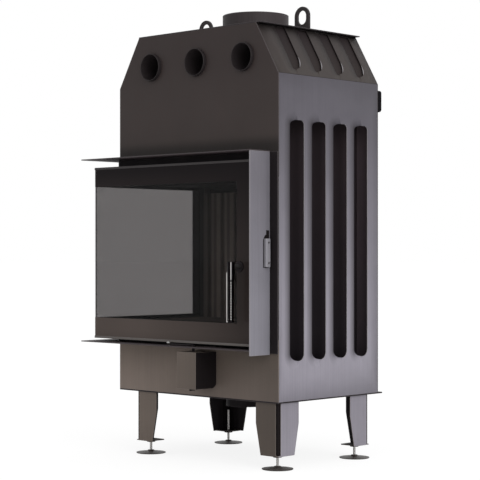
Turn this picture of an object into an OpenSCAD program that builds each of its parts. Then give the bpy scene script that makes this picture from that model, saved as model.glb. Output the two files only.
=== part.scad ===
// Corner fireplace insert: a welded steel casing round a firebox, an L-shaped glass door on
// vertical hinge pins, convection outlets, a flue collar, an outside-air inlet and four
// adjustable feet. The front looks along -Y, +X is to the viewer's right and +Z is up.
// The floor is Z = 0 and the origin is the middle of the overall footprint.

/* [Casing] */
// Width of the casing
body_w = 650; // [600:10:700]
// Depth of the casing
body_d = 435; // [420:5:480]
// Height of the casing's underside above the floor
body_bottom = 185.5; // [175:0.5:200]
// Height at which the side chamfers begin
chamfer_z = 1095; // [1080:5:1110]
// Height of the top plate's upper face
top_z = 1244; // [1230:2:1260]
// Inset of each side at the top
chamfer_inset = 85; // [70:5:100]
// Thickness of the casing sheets
sheet = 3; // [2:0.5:4]
// Overhang of the base plate behind the rear panel
base_overhang = 20; // [15:1:30]
// Overhang of the top plate beyond the chamfers
top_overhang = 16; // [8:1:20]

/* [Louvres] */
// Number of pressed louvres on the right side
louvre_count = 4; // [2:1:4]
// Distance between louvre centres
louvre_pitch = 93; // [85:1:96]
// Distance from the front plane to the first louvre's centre
louvre_first = 87; // [80:1:90]
// Width of the opening of one side louvre
louvre_w = 41; // [30:1:44]
// Depth to which a louvre's front edge is pressed in
louvre_depth = 17; // [8:1:18]
// Height of the side louvres' lower ends
louvre_low = 299; // [260:5:340]
// Height of the side louvres' upper ends
louvre_high = 969; // [900:5:1000]
// Width of the rolled-in front edge of a louvre
louvre_lip = 43; // [30:1:48]
// Depth to which a gill's front edge is pressed in
gill_depth = 14; // [8:1:18]
// Width of the rolled-in front edge of a gill
gill_lip = 25; // [18:1:28]
// Distance up the chamfer to the lower end of its gills
gill_low = 21; // [15:1:30]
// Distance up the chamfer to the upper end of its gills
gill_high = 156; // [130:2:160]
// Width of the opening of one chamfer gill
gill_w = 45; // [30:1:50]
// Distance of a gill's front edge in front of the louvre centre below it
gill_shift = 15; // [0:1:20]

/* [Flue and lifting eyes] */
// Outside diameter of the flue collar
flue_d = 198; // [170:1:205]
// Wall of the flue collar
flue_wall = 3; // [2:0.5:5]
// Height of the flue collar above the top plate
flue_rise = 66; // [40:1:90]
// Distance from the rear plane to the flue's axis
flue_gap = 180; // [165:1:195]
// Width of a lifting eye
eye_w = 57; // [50:1:65]
// Height of a lifting eye above the top plate
eye_h = 72; // [66:1:90]
// Thickness of a lifting eye
eye_t = 6; // [4:1:8]
// Width of the slot in a lifting eye
eye_slot_w = 32; // [26:1:36]
// Height of the slot in a lifting eye
eye_slot_h = 40.5; // [36:0.5:48]
// Distance of the lifting eyes from the top's side edges
eye_inset = 42; // [35:1:80]
// Distance of the lifting eyes in front of the flue's axis
eye_lead = 12; // [-20:1:40]

/* [Air connections] */
// Outside diameter of a hot-air collar
outlet_d = 80; // [70:1:90]
// Wall of a hot-air collar
outlet_wall = 2; // [1.5:0.5:3]
// Distance between hot-air collars
outlet_pitch = 187.5; // [150:2.5:190]
// Height of the hot-air collars' axes
outlet_z = 1149; // [1130:1:1170]
// Reach of a hot-air collar in front of the casing
outlet_reach = 10; // [6:1:25]
// Length of a hot-air collar behind the front panel
outlet_tail = 40; // [15:1:60]
// Outside diameter of the outside-air inlet
intake_d = 125; // [100:1:140]
// Reach of the outside-air inlet below the casing
intake_reach = 41; // [30:1:60]

/* [Ledges] */
// Reach of the ledges in front of the casing and beyond its left side
ledge_reach = 83; // [75:1:95]
// Thickness of the ledges
ledge_t = 3; // [2:0.5:5]
// Height of the top ledge's underside
ledge_top_z = 879; // [876:1:895]
// Height of the bottom ledge's underside
ledge_bottom_z = 331; // [320:1:332]
// Distance of the cheek plate's outer face from the casing's right side
cheek_inset = 29; // [20:1:40]

/* [Door] */
// Reach of the door's face in front of the casing
door_reach = 53; // [48:1:58]
// Height of the door's lower edge
door_low = 343.5; // [342:0.5:348]
// Height of the door's upper edge
door_high = 855.5; // [850:0.5:858]
// Height of the clear glass above the door's lower edge
band_low = 61; // [50:1:66]
// Height of the dark band at the door's upper edge
band_high = 57; // [50:1:66]
// Width of the dark stile at the handle
stile_w = 73; // [62:1:80]
// Thickness of the door's frame
door_frame_t = 24; // [20:1:24]
// Thickness of the glass
glass_t = 4; // [3:0.5:5]
// Distance from the rear plane to the end of the clear side glass
side_clear_gap = 75; // [70:1:110]
// Distance from the rear plane to the hinge axis
hinge_gap = 50; // [45:1:55]
// Radius of a hinge pin
hinge_pin_r = 5; // [4:0.5:6]

/* [Handle] */
// Height of the handle's turning axis
handle_z = 562; // [560:1:590]
// Distance of the handle's grip in front of the door
handle_standoff = 35; // [30:1:45]
// Height of the hub above the turning axis
hub_rise = 13; // [10:1:38]
// Height of the hub
hub_h = 50; // [45:1:60]
// Length of the grip below the hub
grip_len = 116; // [100:1:125]
// Diameter of the hub
hub_d = 21; // [18:0.5:26]
// Diameter of the grip's core
core_d = 11; // [9:0.5:12]
// Diameter of the coil's wire
wire_d = 3.6; // [3:0.1:4]
// Number of turns in the coil
coil_turns = 24; // [16:1:24]
// Width of the flat bar beside the grip
bar_w = 9; // [6:0.5:12]
// Thickness of the flat bar beside the grip
bar_t = 3; // [2:0.5:4]

/* [Air control] */
// Width of the air box
air_box_w = 76; // [60:1:90]
// Height of the air box
air_box_h = 104; // [80:1:108]
// Distance of the air box's right face from the casing's right side
air_box_x = 239; // [200:1:260]
// Distance of the lever's spindle in front of the casing
spindle_y = 45; // [40:1:50]
// Radius of the lever's spindle
spindle_r = 4; // [3:0.5:5]
// Length of the air lever from the spindle to its knob
lever_len = 84; // [70:1:95]
// Turn of the lever towards the door when closed
lever_turn = 13; // [12:1:18]

/* [Legs] */
// Width of a leg's plates at the top
leg_top_w = 85; // [75:1:95]
// Width of a leg's plates at the bottom
leg_low_w = 67; // [60:1:70]
// Height above the floor at which a leg's taper begins
leg_taper_z = 127; // [110:1:140]
// Height of a leg's lower edge above the floor
leg_low_z = 38; // [30:1:50]
// Gap that leaves a leg's corner open
leg_gap = 10; // [6:1:14]
// Inset of the legs from the casing's right side and front plane
leg_inset = 5; // [3:1:10]
// Inset of the left legs from the casing's left side
leg_left_inset = 71; // [60:1:80]
// Inset of the rear legs from the casing's rear plane
leg_rear_inset = 37; // [30:1:50]
// Size of the square plate under a leg
leg_foot_plate = 58; // [50:1:64]
// Diameter of a foot's disc
foot_d = 88; // [70:1:100]
// Thickness of a foot's disc at its rim
foot_t = 4.5; // [3:0.5:8]
// Diameter of a foot's rod
foot_rod_d = 8; // [6:0.5:12]
// Length of a foot's rod
foot_rod_len = 105; // [80:1:120]

/* [Firebox] */
// Thickness of the firebox plates
plate = 5; // [4:1:8]
// Thickness of the lining boards
board = 30; // [20:1:40]
// Height of the firebox floor plate
firebox_floor_z = 360; // [350:1:365]
// Height of the firebox roof plate
firebox_roof_z = 1000; // [980:5:1040]
// Distance between the firebox's right wall and the casing's right side
firebox_side_gap = 80; // [72:1:86]
// Distance between the firebox's rear wall and the casing's rear plane
firebox_rear_gap = 50; // [40:1:55]
// Distance between the flutes of the rear lining
flute_pitch = 58; // [40:1:80]
// Width of one flute
flute_w = 14; // [8:1:24]

/* [Hidden] */
$fn = 64;

// Overrun of every cut, and the clearances between pieces
over = 1;
fit_clear = 0.08;
seat_gap = 0.3;
side_clear = 2;
base_t = 4;

half_w = body_w / 2;
inner_bottom = body_bottom + base_t;
firebox_rear_y = body_d - firebox_rear_gap;
firebox_right_x = half_w - firebox_side_gap;
flue_y = body_d - flue_gap;
eye_x = half_w - chamfer_inset - eye_inset;
eye_y = flue_y - eye_lead;
side_clear_y = body_d - side_clear_gap;
hinge_y = body_d - hinge_gap;
slope_h = top_z - sheet - chamfer_z;
slope_len = sqrt(slope_h * slope_h + chamfer_inset * chamfer_inset);
slope_angle = atan2(chamfer_inset, slope_h);
cheek_x = half_w - cheek_inset;
door_right = cheek_x - sheet - side_clear;
clear_low = door_low + band_low;
clear_high = door_high - band_high;
clear_right = door_right - stile_w;

// The door's layers, as distances in front of the casing's planes
frame_out = door_reach - glass_t - seat_gap;
frame_in = frame_out - door_frame_t;
gasket_t = 8;
gasket_w = 8;
lip_out = frame_in - gasket_t;
lip_w = 15;
lip_t = lip_out - sheet;
lip_overlap = 10;
open_low = clear_low - lip_overlap;
open_high = clear_high + lip_overlap;
open_right = clear_right + lip_overlap;
open_rear = side_clear_y;
hinge_margin = 15;
door_rear = hinge_y + hinge_margin;
hinge_x = -half_w - (frame_out + frame_in) / 2;
frame_rear = door_rear + hinge_margin;

handle_inset = 11;
handle_x = clear_right + handle_inset;
grip_y = -door_reach - handle_standoff;
hub_high = handle_z + hub_rise;
hub_low = hub_high - hub_h;
grip_low = hub_low - grip_len;
handle_reach = -grip_y + hub_d / 2;

foot_axis = 30;

// The overall footprint, whose middle is the origin
reach_front = handle_reach;
reach_rear = body_d + base_overhang;
reach_left = half_w + ledge_reach;
reach_right = half_w - leg_inset - foot_axis + foot_d / 2;
origin_x = (reach_left - reach_right) / 2;
origin_y = (reach_front - reach_rear) / 2;

black = "#2a2426";
steel_dark = "#4f4845";
steel_grey = "#84828a";
polished = "#c9c6c4";

module place() {
    translate([origin_x, origin_y, 0]) children();
}

// A plate seen in plan that follows the front and the left side, "out" from their planes
module l_strip(out, depth, right, rear) {
    outer_x = -half_w - out;
    polygon([[right, -out], [right, depth - out], [outer_x + depth, depth - out],
             [outer_x + depth, rear], [outer_x, rear], [outer_x, -out]]);
}

module l_bar(out, depth, right, rear, low, high) {
    translate([0, 0, low]) linear_extrude(high - low) l_strip(out, depth, right, rear);
}

module box(low, high) {
    translate(low) cube(high - low);
}

module tube(outer_r, inner_r, height) {
    difference() {
        cylinder(r = outer_r, h = height);
        translate([0, 0, -over]) cylinder(r = inner_r, h = height + 2 * over);
    }
}

// The outline of a long hole with round ends, drawn as (depth, height)
module round_slot(r, low, high) {
    translate([-r, low + r]) square([2 * r, high - low - 2 * r]);
    translate([0, low + r]) circle(r);
    translate([0, high - r]) circle(r);
}

// The outline of a hole with a straight front edge and one round corner at its foot
module gill_slot(r, low, high) {
    translate([0, low + r]) square([r, high - low - r]);
    intersection() {
        translate([0, low + r]) circle(r);
        translate([0, low]) square([r, r]);
    }
}

// A sheet standing in the plane X = 0, with the casing's inside towards -X
module on_sheet(depth) {
    translate([-depth, 0, 0]) rotate([90, 0, 90]) linear_extrude(depth) children();
}

// A rolled-in front edge that ends at Y = 0, pressed in to a depth, with a wall at each end
module rolled_lip(reach, depth, low, high) {
    lip_r = (reach * reach + depth * depth) / (2 * depth);
    module rolled() {
        intersection() {
            translate([-lip_r, -reach]) circle(lip_r);
            translate([-lip_r, -reach]) square([lip_r, reach]);
        }
    }
    module hollow() {
        translate([-lip_r, -reach]) circle(lip_r - sheet);
    }
    translate([0, 0, low]) linear_extrude(high - low) difference() {
        rolled();
        hollow();
    }
    for (z = [low, high - sheet])
        translate([0, 0, z]) linear_extrude(sheet) difference() {
            translate([-depth - sheet, -reach]) square([depth + sheet, reach]);
            hollow();
        }
}

function louvre_y(i) = louvre_first + i * louvre_pitch;

module base_plate() {
    color(black) place() difference() {
        box([-half_w, 0, body_bottom], [half_w, body_d + base_overhang, inner_bottom]);
        translate([0, body_d / 2, body_bottom - over])
            cylinder(d = intake_d + 2 * seat_gap, h = base_t + 2 * over);
    }
}

air_box_low_share = 0.3;
air_port_h_share = 0.4;
air_box_right = half_w - air_box_x;
air_box_left = air_box_right - air_box_w;
air_box_top = ledge_bottom_z - 4 * ledge_t;
air_box_base = air_box_top - air_box_h;
air_port_low = air_box_base + air_box_low_share * air_box_h;
air_port_high = air_port_low + air_port_h_share * air_box_h;
air_port_inset = air_box_w / 5;

module lower_front_panel() {
    color("#5a4f48") place() difference() {
        box([-half_w, 0, inner_bottom], [half_w, sheet, firebox_floor_z]);
        box([air_box_left + air_port_inset, -over, air_port_low],
            [air_box_right - air_port_inset, sheet + over, air_port_high]);
    }
}

module front_outline(low) {
    polygon([[-half_w, low], [half_w, low], [half_w, chamfer_z],
             [half_w - chamfer_inset, top_z - sheet],
             [-half_w + chamfer_inset, top_z - sheet], [-half_w, chamfer_z]]);
}

outlet_shift = outlet_d / 20;

function outlet_x(i) = outlet_shift + (i - 1) * outlet_pitch;

module upper_front_panel() {
    color("#37302e") place() difference() {
        translate([0, sheet, 0]) rotate([90, 0, 0]) linear_extrude(sheet)
            front_outline(open_high);
        for (i = [0:2])
            translate([outlet_x(i), sheet + over, outlet_z]) rotate([90, 0, 0])
                cylinder(d = outlet_d + 2 * seat_gap, h = sheet + 2 * over);
    }
}

module right_side_panel() {
    r = louvre_w / 2;
    color(steel_grey) place() translate([half_w, 0, 0]) {
        on_sheet(sheet) difference() {
            translate([sheet, inner_bottom])
                square([body_d - 2 * sheet, chamfer_z - inner_bottom]);
            for (i = [0:louvre_count - 1])
                translate([louvre_y(i), 0]) {
                    round_slot(r, louvre_low, louvre_high);
                    translate([-r - louvre_lip, louvre_low + r])
                        square([louvre_lip + r, louvre_high - louvre_low - 2 * r]);
                }
        }
        for (i = [0:louvre_count - 1])
            translate([0, louvre_y(i) - r, 0])
                rolled_lip(louvre_lip, louvre_depth, louvre_low + r, louvre_high - r);
    }
}

module left_side_panel() {
    color(steel_dark) place() difference() {
        box([-half_w, sheet, inner_bottom], [-half_w + sheet, body_d - sheet, chamfer_z]);
        box([-half_w - over, -over, open_low],
            [-half_w + sheet + over, open_rear, open_high]);
    }
}

module rear_panel() {
    color(black) place()
        translate([0, body_d, 0]) rotate([90, 0, 0]) linear_extrude(sheet)
            front_outline(inner_bottom);
}

// The chamfer's own frame: its outer face is X = 0 and Z runs up the slope from the fold
module on_chamfer() {
    translate([half_w, 0, chamfer_z]) rotate([0, -slope_angle, 0]) children();
}

module chamfer_sheet() {
    on_chamfer() {
        on_sheet(sheet) difference() {
            translate([sheet, sheet])
                square([body_d - 2 * sheet, slope_len - 2 * sheet]);
            for (i = [0:louvre_count - 1])
                translate([louvre_y(i) - gill_shift, 0]) {
                    gill_slot(gill_w, gill_low, gill_high);
                    translate([-gill_lip, gill_low])
                        square([gill_lip, gill_high - gill_low]);
                }
        }
        for (i = [0:louvre_count - 1])
            translate([0, louvre_y(i) - gill_shift, 0])
                rolled_lip(gill_lip, gill_depth, gill_low, gill_high);
    }
}

module right_chamfer_panel() {
    color(steel_dark) place() chamfer_sheet();
}

module left_chamfer_panel() {
    color(steel_dark) place() mirror([1, 0, 0]) chamfer_sheet();
}

top_half_w = half_w - chamfer_inset + top_overhang;

module top_plate() {
    color(black) place() difference() {
        union() {
            box([-top_half_w, sheet, top_z - sheet], [top_half_w, body_d, top_z]);
            box([-half_w + chamfer_inset, 0, top_z - sheet],
                [half_w - chamfer_inset, sheet, top_z]);
        }
        translate([0, flue_y, top_z - sheet - over])
            cylinder(d = flue_d + 2 * seat_gap, h = sheet + 2 * over);
    }
}

flue_flange_w = 4 * plate;

module flue_collar() {
    roof_top = firebox_roof_z + plate;
    color(black) place() translate([0, flue_y, roof_top]) difference() {
        union() {
            cylinder(d = flue_d, h = top_z + flue_rise - roof_top);
            cylinder(d = flue_d + 2 * flue_flange_w, h = plate);
        }
        translate([0, 0, -over])
            cylinder(d = flue_d - 2 * flue_wall, h = top_z + flue_rise - roof_top + 2 * over);
    }
}

eye_rim = 11.5;
eye_slot_top = eye_h - eye_rim;

// A flat ear with a round head and a long slot for a hook
module lifting_eye(side) {
    slot_r = eye_slot_w / 2;
    color(black) place()
        translate([side * eye_x, eye_y + eye_t / 2, top_z]) rotate([90, 0, 0])
            linear_extrude(eye_t) difference() {
                union() {
                    translate([-eye_w / 2, 0]) square([eye_w, eye_h - eye_w / 2]);
                    translate([0, eye_h - eye_w / 2]) circle(d = eye_w);
                }
                translate([0, eye_slot_top - slot_r]) circle(slot_r);
                translate([0, eye_slot_top - eye_slot_h + slot_r]) circle(slot_r);
                translate([-slot_r, eye_slot_top - eye_slot_h + slot_r])
                    square([eye_slot_w, eye_slot_h - eye_slot_w]);
            }
}

module lifting_eye_left() {
    lifting_eye(-1);
}

module lifting_eye_right() {
    lifting_eye(1);
}

outlet_flange_w = outlet_d / 8;

// A short tube pushed through the front panel, with its flange behind the sheet
module hot_air_collar(i) {
    color(black) place() translate([outlet_x(i), outlet_tail, outlet_z]) rotate([90, 0, 0])
        difference() {
            union() {
                cylinder(d = outlet_d, h = outlet_tail + outlet_reach);
                translate([0, 0, outlet_tail - sheet - outlet_wall])
                    cylinder(d = outlet_d + 2 * outlet_flange_w, h = outlet_wall);
            }
            translate([0, 0, -over])
                cylinder(d = outlet_d - 2 * outlet_wall,
                         h = outlet_tail + outlet_reach + 2 * over);
        }
}

module hot_air_collar_left() {
    hot_air_collar(0);
}

module hot_air_collar_middle() {
    hot_air_collar(1);
}

module hot_air_collar_right() {
    hot_air_collar(2);
}

block_w = 60;
block_h = 63;
block_t = 17;
block_z = 1015;
block_r = 8;
block_inset = 0.5;

// A rounded block behind the rear panel that keeps the insert off the wall
module rear_block() {
    low_x = half_w - block_inset - block_w;
    color(black) place() translate([low_x, body_d, block_z])
        rotate([90, 0, 0]) mirror([0, 0, 1]) linear_extrude(block_t) {
            translate([block_r, 0]) square([block_w - 2 * block_r, block_h]);
            translate([0, block_r]) square([block_w, block_h - 2 * block_r]);
            for (x = [block_r, block_w - block_r])
                for (z = [block_r, block_h - block_r])
                    translate([x, z]) circle(block_r);
        }
}

intake_wall = 2;
intake_flange_w = 10;

module air_intake_spigot() {
    color(black) place()
        translate([0, body_d / 2, body_bottom - intake_reach]) difference() {
            union() {
                cylinder(d = intake_d, h = intake_reach + base_t);
                translate([0, 0, intake_reach - intake_wall])
                    cylinder(d = intake_d + 2 * intake_flange_w, h = intake_wall);
            }
            translate([0, 0, -over])
                cylinder(d = intake_d - 2 * intake_wall,
                         h = intake_reach + base_t + 2 * over);
        }
}

duct_wall = 2;

// The channel that leads the outside air from the inlet to the air box behind the panel
module air_duct() {
    duct_right = max(air_box_right, intake_d / 2 + intake_flange_w);
    duct_left = -intake_d / 2 - intake_flange_w;
    duct_rear = body_d / 2 + intake_d / 2 + intake_flange_w;
    duct_top = air_port_high + 2 * duct_wall;
    color(black) place() difference() {
        box([duct_left, sheet, inner_bottom], [duct_right, duct_rear, duct_top]);
        box([duct_left + duct_wall, sheet + duct_wall, inner_bottom + duct_wall],
            [duct_right - duct_wall, duct_rear - duct_wall, duct_top - duct_wall]);
        box([air_box_left + air_port_inset, 0, air_port_low],
            [air_box_right - air_port_inset, sheet + duct_wall + over, air_port_high]);
        translate([0, body_d / 2, inner_bottom - over])
            cylinder(d = intake_d - 2 * intake_wall, h = duct_wall + 2 * over);
    }
}

hood_inset = 25;
firebox_left = -half_w + sheet;

module firebox_floor() {
    color(black) place()
        box([firebox_left, 0, firebox_floor_z],
            [firebox_right_x, firebox_rear_y, firebox_floor_z + plate]);
}

module firebox_right_wall() {
    color(black) place()
        box([firebox_right_x, sheet, firebox_floor_z],
            [firebox_right_x + plate, firebox_rear_y + plate, firebox_roof_z]);
}

module firebox_rear_wall() {
    color(black) place()
        box([firebox_left, firebox_rear_y, firebox_floor_z],
            [firebox_right_x, firebox_rear_y + plate, firebox_roof_z]);
}

// The upper walls above the door opening, closed to the front frame by a flat foot
module firebox_hood() {
    color(black) place() {
        l_bar(-hood_inset, plate, firebox_right_x, firebox_rear_y,
              open_high, firebox_roof_z);
        l_bar(-sheet, hood_inset, firebox_right_x, firebox_rear_y,
              open_high, open_high + plate);
    }
}

module firebox_roof() {
    color(black) place() difference() {
        box([-half_w + hood_inset, hood_inset, firebox_roof_z],
            [firebox_right_x + plate, firebox_rear_y + plate, firebox_roof_z + plate]);
        translate([0, flue_y, firebox_roof_z - over])
            cylinder(d = flue_d - 2 * flue_wall, h = plate + 2 * over);
    }
}

cradle_w = 40;
cradle_inset = 90;

// Two folded rails that carry the firebox on the base plate
module firebox_cradle() {
    color(black) place()
        for (x = [-half_w + cradle_inset, firebox_right_x - cradle_w])
            difference() {
                box([x, 2 * sheet, inner_bottom],
                    [x + cradle_w, firebox_rear_y, firebox_floor_z]);
                box([x + sheet, sheet, inner_bottom - over],
                    [x + cradle_w + over, firebox_rear_y + over, firebox_floor_z - sheet]);
            }
}

lining_low = firebox_floor_z + plate + board;
lining_high = open_high - 4 * plate;
flute_depth = board / 4;
lining_back_y = firebox_rear_y - board;
lining_right_x = firebox_right_x - board;
flute_count = floor((lining_right_x - firebox_left) / flute_pitch);

module lining_back() {
    color("#6a625c") place() difference() {
        box([firebox_left, lining_back_y, lining_low],
            [lining_right_x, firebox_rear_y, lining_high]);
        for (i = [0:flute_count - 1])
            translate([firebox_left + (i + 1 / 2) * flute_pitch, lining_back_y,
                       lining_low - over])
                scale([flute_w / 2, flute_depth, 1])
                    cylinder(r = 1, h = lining_high - lining_low + 2 * over, $fn = 12);
    }
}

module lining_right() {
    color("#6a625c") place()
        box([lining_right_x, sheet, lining_low],
            [firebox_right_x, firebox_rear_y, lining_high]);
}

module lining_floor() {
    color("#6a625c") place()
        box([firebox_left + sheet, sheet, firebox_floor_z + plate],
            [firebox_right_x, firebox_rear_y, lining_low]);
}

baffle_front_y = 100;

// The board that turns the smoke round before the flue, laid on the lining
module baffle() {
    color("#6a625c") place()
        box([-half_w + hood_inset + board, baffle_front_y, lining_high],
            [firebox_right_x, firebox_rear_y, lining_high + board]);
}

frame_low = ledge_bottom_z - 3 * ledge_t;

// The black frame round the door opening, with the raised lip that the gasket meets
module front_frame() {
    color(black) place() {
        l_bar(sheet, sheet, half_w, frame_rear, open_high, ledge_top_z);
        l_bar(sheet, sheet, cheek_x, frame_rear, ledge_bottom_z + ledge_t, open_low);
        box([open_right, -sheet, ledge_bottom_z + ledge_t], [cheek_x, 0, open_high]);
        box([cheek_x, -sheet, frame_low], [half_w, 0, open_high]);
        box([-half_w - sheet, open_rear, open_low],
            [-half_w, frame_rear, open_high]);
        l_bar(lip_out, lip_t, open_right + lip_w, open_rear + lip_w,
              open_high, open_high + lip_w);
        l_bar(lip_out, lip_t, open_right + lip_w, open_rear + lip_w,
              open_low - lip_w, open_low);
        box([open_right, -lip_out, open_low], [open_right + lip_w, -sheet, open_high]);
        box([-half_w - lip_out, open_rear, open_low],
            [-half_w - sheet, open_rear + lip_w, open_high]);
    }
}

module top_ledge() {
    color(black) place()
        l_bar(ledge_reach, ledge_reach, cheek_x, frame_rear, ledge_top_z,
              ledge_top_z + ledge_t);
}

ledge_slot_w = 85;
ledge_slot_y = 22;
ledge_slot_d = 38;
ledge_slot_reach = 72;
spindle_share = 0.37;
spindle_x = air_box_left + air_box_w * spindle_share;
ledge_slot_right = spindle_x + ledge_slot_reach;

module bottom_ledge() {
    color(black) place() difference() {
        l_bar(ledge_reach, ledge_reach, cheek_x - sheet, frame_rear,
              ledge_bottom_z, ledge_bottom_z + ledge_t);
        box([ledge_slot_right - ledge_slot_w, -ledge_slot_y - ledge_slot_d,
             ledge_bottom_z - over],
            [ledge_slot_right, -ledge_slot_y, ledge_bottom_z + ledge_t + over]);
    }
}

cam_t = 4;
cam_y = (frame_out + frame_in) / 2 - cam_t;
cam_h = 8;
cam_hub_r = 8;
cam_engage = 1;
cam_nose_r = cheek_x - sheet + cam_engage - handle_x;
cheek_low = ledge_bottom_z - 4 * ledge_t;
pocket_depth = 1.8;
pocket_y = 8;

module cheek_plate() {
    color(steel_grey) place() difference() {
        box([cheek_x - sheet, -ledge_reach, cheek_low], [cheek_x, -sheet, ledge_top_z]);
        box([cheek_x - sheet - over, -cam_y - cam_t / 2 - pocket_y, handle_z - 3 * cam_h],
            [cheek_x - sheet + pocket_depth, -cam_y + cam_t / 2 + pocket_y / 2,
             handle_z + 2 * cam_h]);
    }
}

keeper_w = 18;
keeper_h = 78;
keeper_t = 9;
keeper_y = 18;
keeper_z = 600;
keeper_r = 3;
keeper_screw_d = 7;
keeper_screw_h = 1.5;
keeper_screw_z_share = 0.36;

// The cover of the catch on the cheek, with its two screws and the slotted tab above it
module latch_keeper() {
    color(steel_grey) place() translate([cheek_x, -keeper_y, keeper_z]) {
        difference() {
            box([0, -keeper_w / 2, -keeper_h / 2], [keeper_t, keeper_w / 2, keeper_h / 2]);
            for (side = [-1, 1])
                translate([keeper_t - keeper_r, side * (keeper_w / 2 - keeper_r), 0])
                    keeper_edge(side);
        }
        for (side = [-1, 1])
            translate([keeper_t, 0, side * keeper_screw_z_share * keeper_h])
                rotate([0, 90, 0]) cylinder(d = keeper_screw_d, h = keeper_screw_h);
    }
}

module keeper_edge(side) {
    translate([0, 0, -keeper_h / 2 - over]) linear_extrude(keeper_h + 2 * over)
        difference() {
            translate([0, side > 0 ? 0 : -keeper_r - over])
                square([keeper_r + over, keeper_r + over]);
            circle(keeper_r);
        }
}

bore_r = hinge_pin_r + fit_clear;
pin_engage = 30;

// The welded frame behind the glass: two L-shaped rails, the handle stile and the hinge stile
module door_frame() {
    stile_rear_y = side_clear_y;
    color(black) place() difference() {
        union() {
            l_bar(frame_out, door_frame_t, door_right, door_rear, door_low, clear_low);
            l_bar(frame_out, door_frame_t, door_right, door_rear, clear_high, door_high);
            box([clear_right, -frame_out, clear_low], [door_right, -frame_in, clear_high]);
            box([-half_w - frame_out, stile_rear_y, clear_low],
                [-half_w - frame_in, door_rear, clear_high]);
        }
        translate([hinge_x, hinge_y, door_high - pin_engage])
            cylinder(r = bore_r, h = pin_engage + over);
        translate([hinge_x, hinge_y, door_low - over])
            cylinder(r = bore_r, h = pin_engage + over);
        translate([handle_x, -cam_y, handle_z]) rotate([90, 0, 0])
            cylinder(r = spindle_bore_r, h = door_frame_t);
        box([handle_x - cam_hub_r - cam_clear, -cam_y - cam_t / 2 - cam_clear,
             handle_z - cam_nose_r - 2 * cam_clear],
            [door_right + over, -cam_y + cam_t / 2 + cam_clear,
             handle_z + cam_hub_r + cam_clear]);
    }
}

cam_clear = 1;
handle_spindle_r = 6;
spindle_bore_r = handle_spindle_r + fit_clear;

module glass_front() {
    color("#9aa0a040") place() difference() {
        box([-half_w - door_reach, -door_reach, door_low],
            [door_right, -door_reach + glass_t, door_high]);
        translate([handle_x, -door_reach + glass_t + over, handle_z]) rotate([90, 0, 0])
            cylinder(r = handle_spindle_r + glass_t, h = glass_t + 2 * over);
    }
}

module glass_side() {
    color("#9aa0a040") place()
        box([-half_w - door_reach, -door_reach + glass_t, door_low],
            [-half_w - door_reach + glass_t, door_rear, door_high]);
}

module door_gasket() {
    out = frame_in;
    depth = gasket_t - seat_gap;
    inset = (lip_w - gasket_w) / 2;
    right = open_right + inset + gasket_w;
    rear = open_rear + inset + gasket_w;
    color("#2b2b2b") place() {
        l_bar(out, depth, right, rear, open_high + inset, open_high + inset + gasket_w);
        l_bar(out, depth, right, rear, open_low - inset - gasket_w, open_low - inset);
        box([right - gasket_w, -out, open_low - inset],
            [right, -out + depth, open_high + inset]);
        box([-half_w - out, rear - gasket_w, open_low - inset],
            [-half_w - out + depth, rear, open_high + inset]);
    }
}

trim_t = 1.2;
trim_h = 5.5;
trim_rear = hinge_y - 3 * hinge_pin_r;

// A folded edge strip: its lip lies on the glass and its back on the frame's edge
module trim_strip(edge, side) {
    lip_low = side > 0 ? edge - trim_h : edge - trim_t;
    back_low = side > 0 ? edge : edge - trim_t;
    l_bar(door_reach + trim_t, trim_t, door_right, trim_rear,
          lip_low, lip_low + trim_h + trim_t);
    l_bar(door_reach + trim_t, door_frame_t / 2, door_right, trim_rear,
          back_low, back_low + trim_t);
}

module door_trim() {
    color(polished) place() {
        trim_strip(door_high, 1);
        trim_strip(door_low, -1);
    }
}

pin_collar_w = 4;
pin_collar_r = hinge_pin_r + pin_collar_w;

module hinge_pin_upper() {
    low = door_high - pin_engage + sheet;
    color(polished) place() translate([hinge_x, hinge_y, 0]) {
        translate([0, 0, low]) cylinder(r = hinge_pin_r, h = ledge_top_z - low);
        translate([0, 0, door_high + side_clear])
            cylinder(r = pin_collar_r, h = ledge_top_z - door_high - side_clear);
    }
}

module hinge_pin_lower() {
    ledge = ledge_bottom_z + ledge_t;
    color(polished) place() translate([hinge_x, hinge_y, ledge]) {
        cylinder(r = hinge_pin_r, h = door_low + pin_engage - sheet - ledge);
        cylinder(r = pin_collar_r, h = door_low - seat_gap - ledge);
    }
}

rosette_r = 15;
rosette_t = 4;

module handle_rosette() {
    color(black) place() translate([handle_x, -door_reach, handle_z]) rotate([90, 0, 0])
        tube(rosette_r, handle_spindle_r + seat_gap, rosette_t);
}

// The hub turns with its spindle in the stile's bore
module handle_hub() {
    spindle_end = -cam_y + cam_t / 2;
    color(black) place() {
        translate([handle_x, grip_y, hub_low]) cylinder(d = hub_d, h = hub_high - hub_low);
        translate([handle_x, spindle_end, handle_z]) rotate([90, 0, 0])
            cylinder(r = handle_spindle_r, h = spindle_end - grip_y);
    }
}

grip_cap_h = 6;

module handle_grip() {
    color(polished) place() translate([handle_x, grip_y, grip_low]) {
        cylinder(d = core_d, h = hub_low - grip_low);
        cylinder(d = core_d + 2 * wire_d, h = grip_cap_h);
    }
}

// The coil is one wire, wound round the core and let into the cap and the hub at its ends
coil_low = grip_low + grip_cap_h;
coil_high = hub_low;
coil_r = core_d / 2 + wire_d / 2 + seat_gap;
coil_steps = 12;
coil_sides = 6;
coil_run = coil_high - coil_low - 2 * wire_d;
coil_pitch = coil_run / coil_turns;

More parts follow.
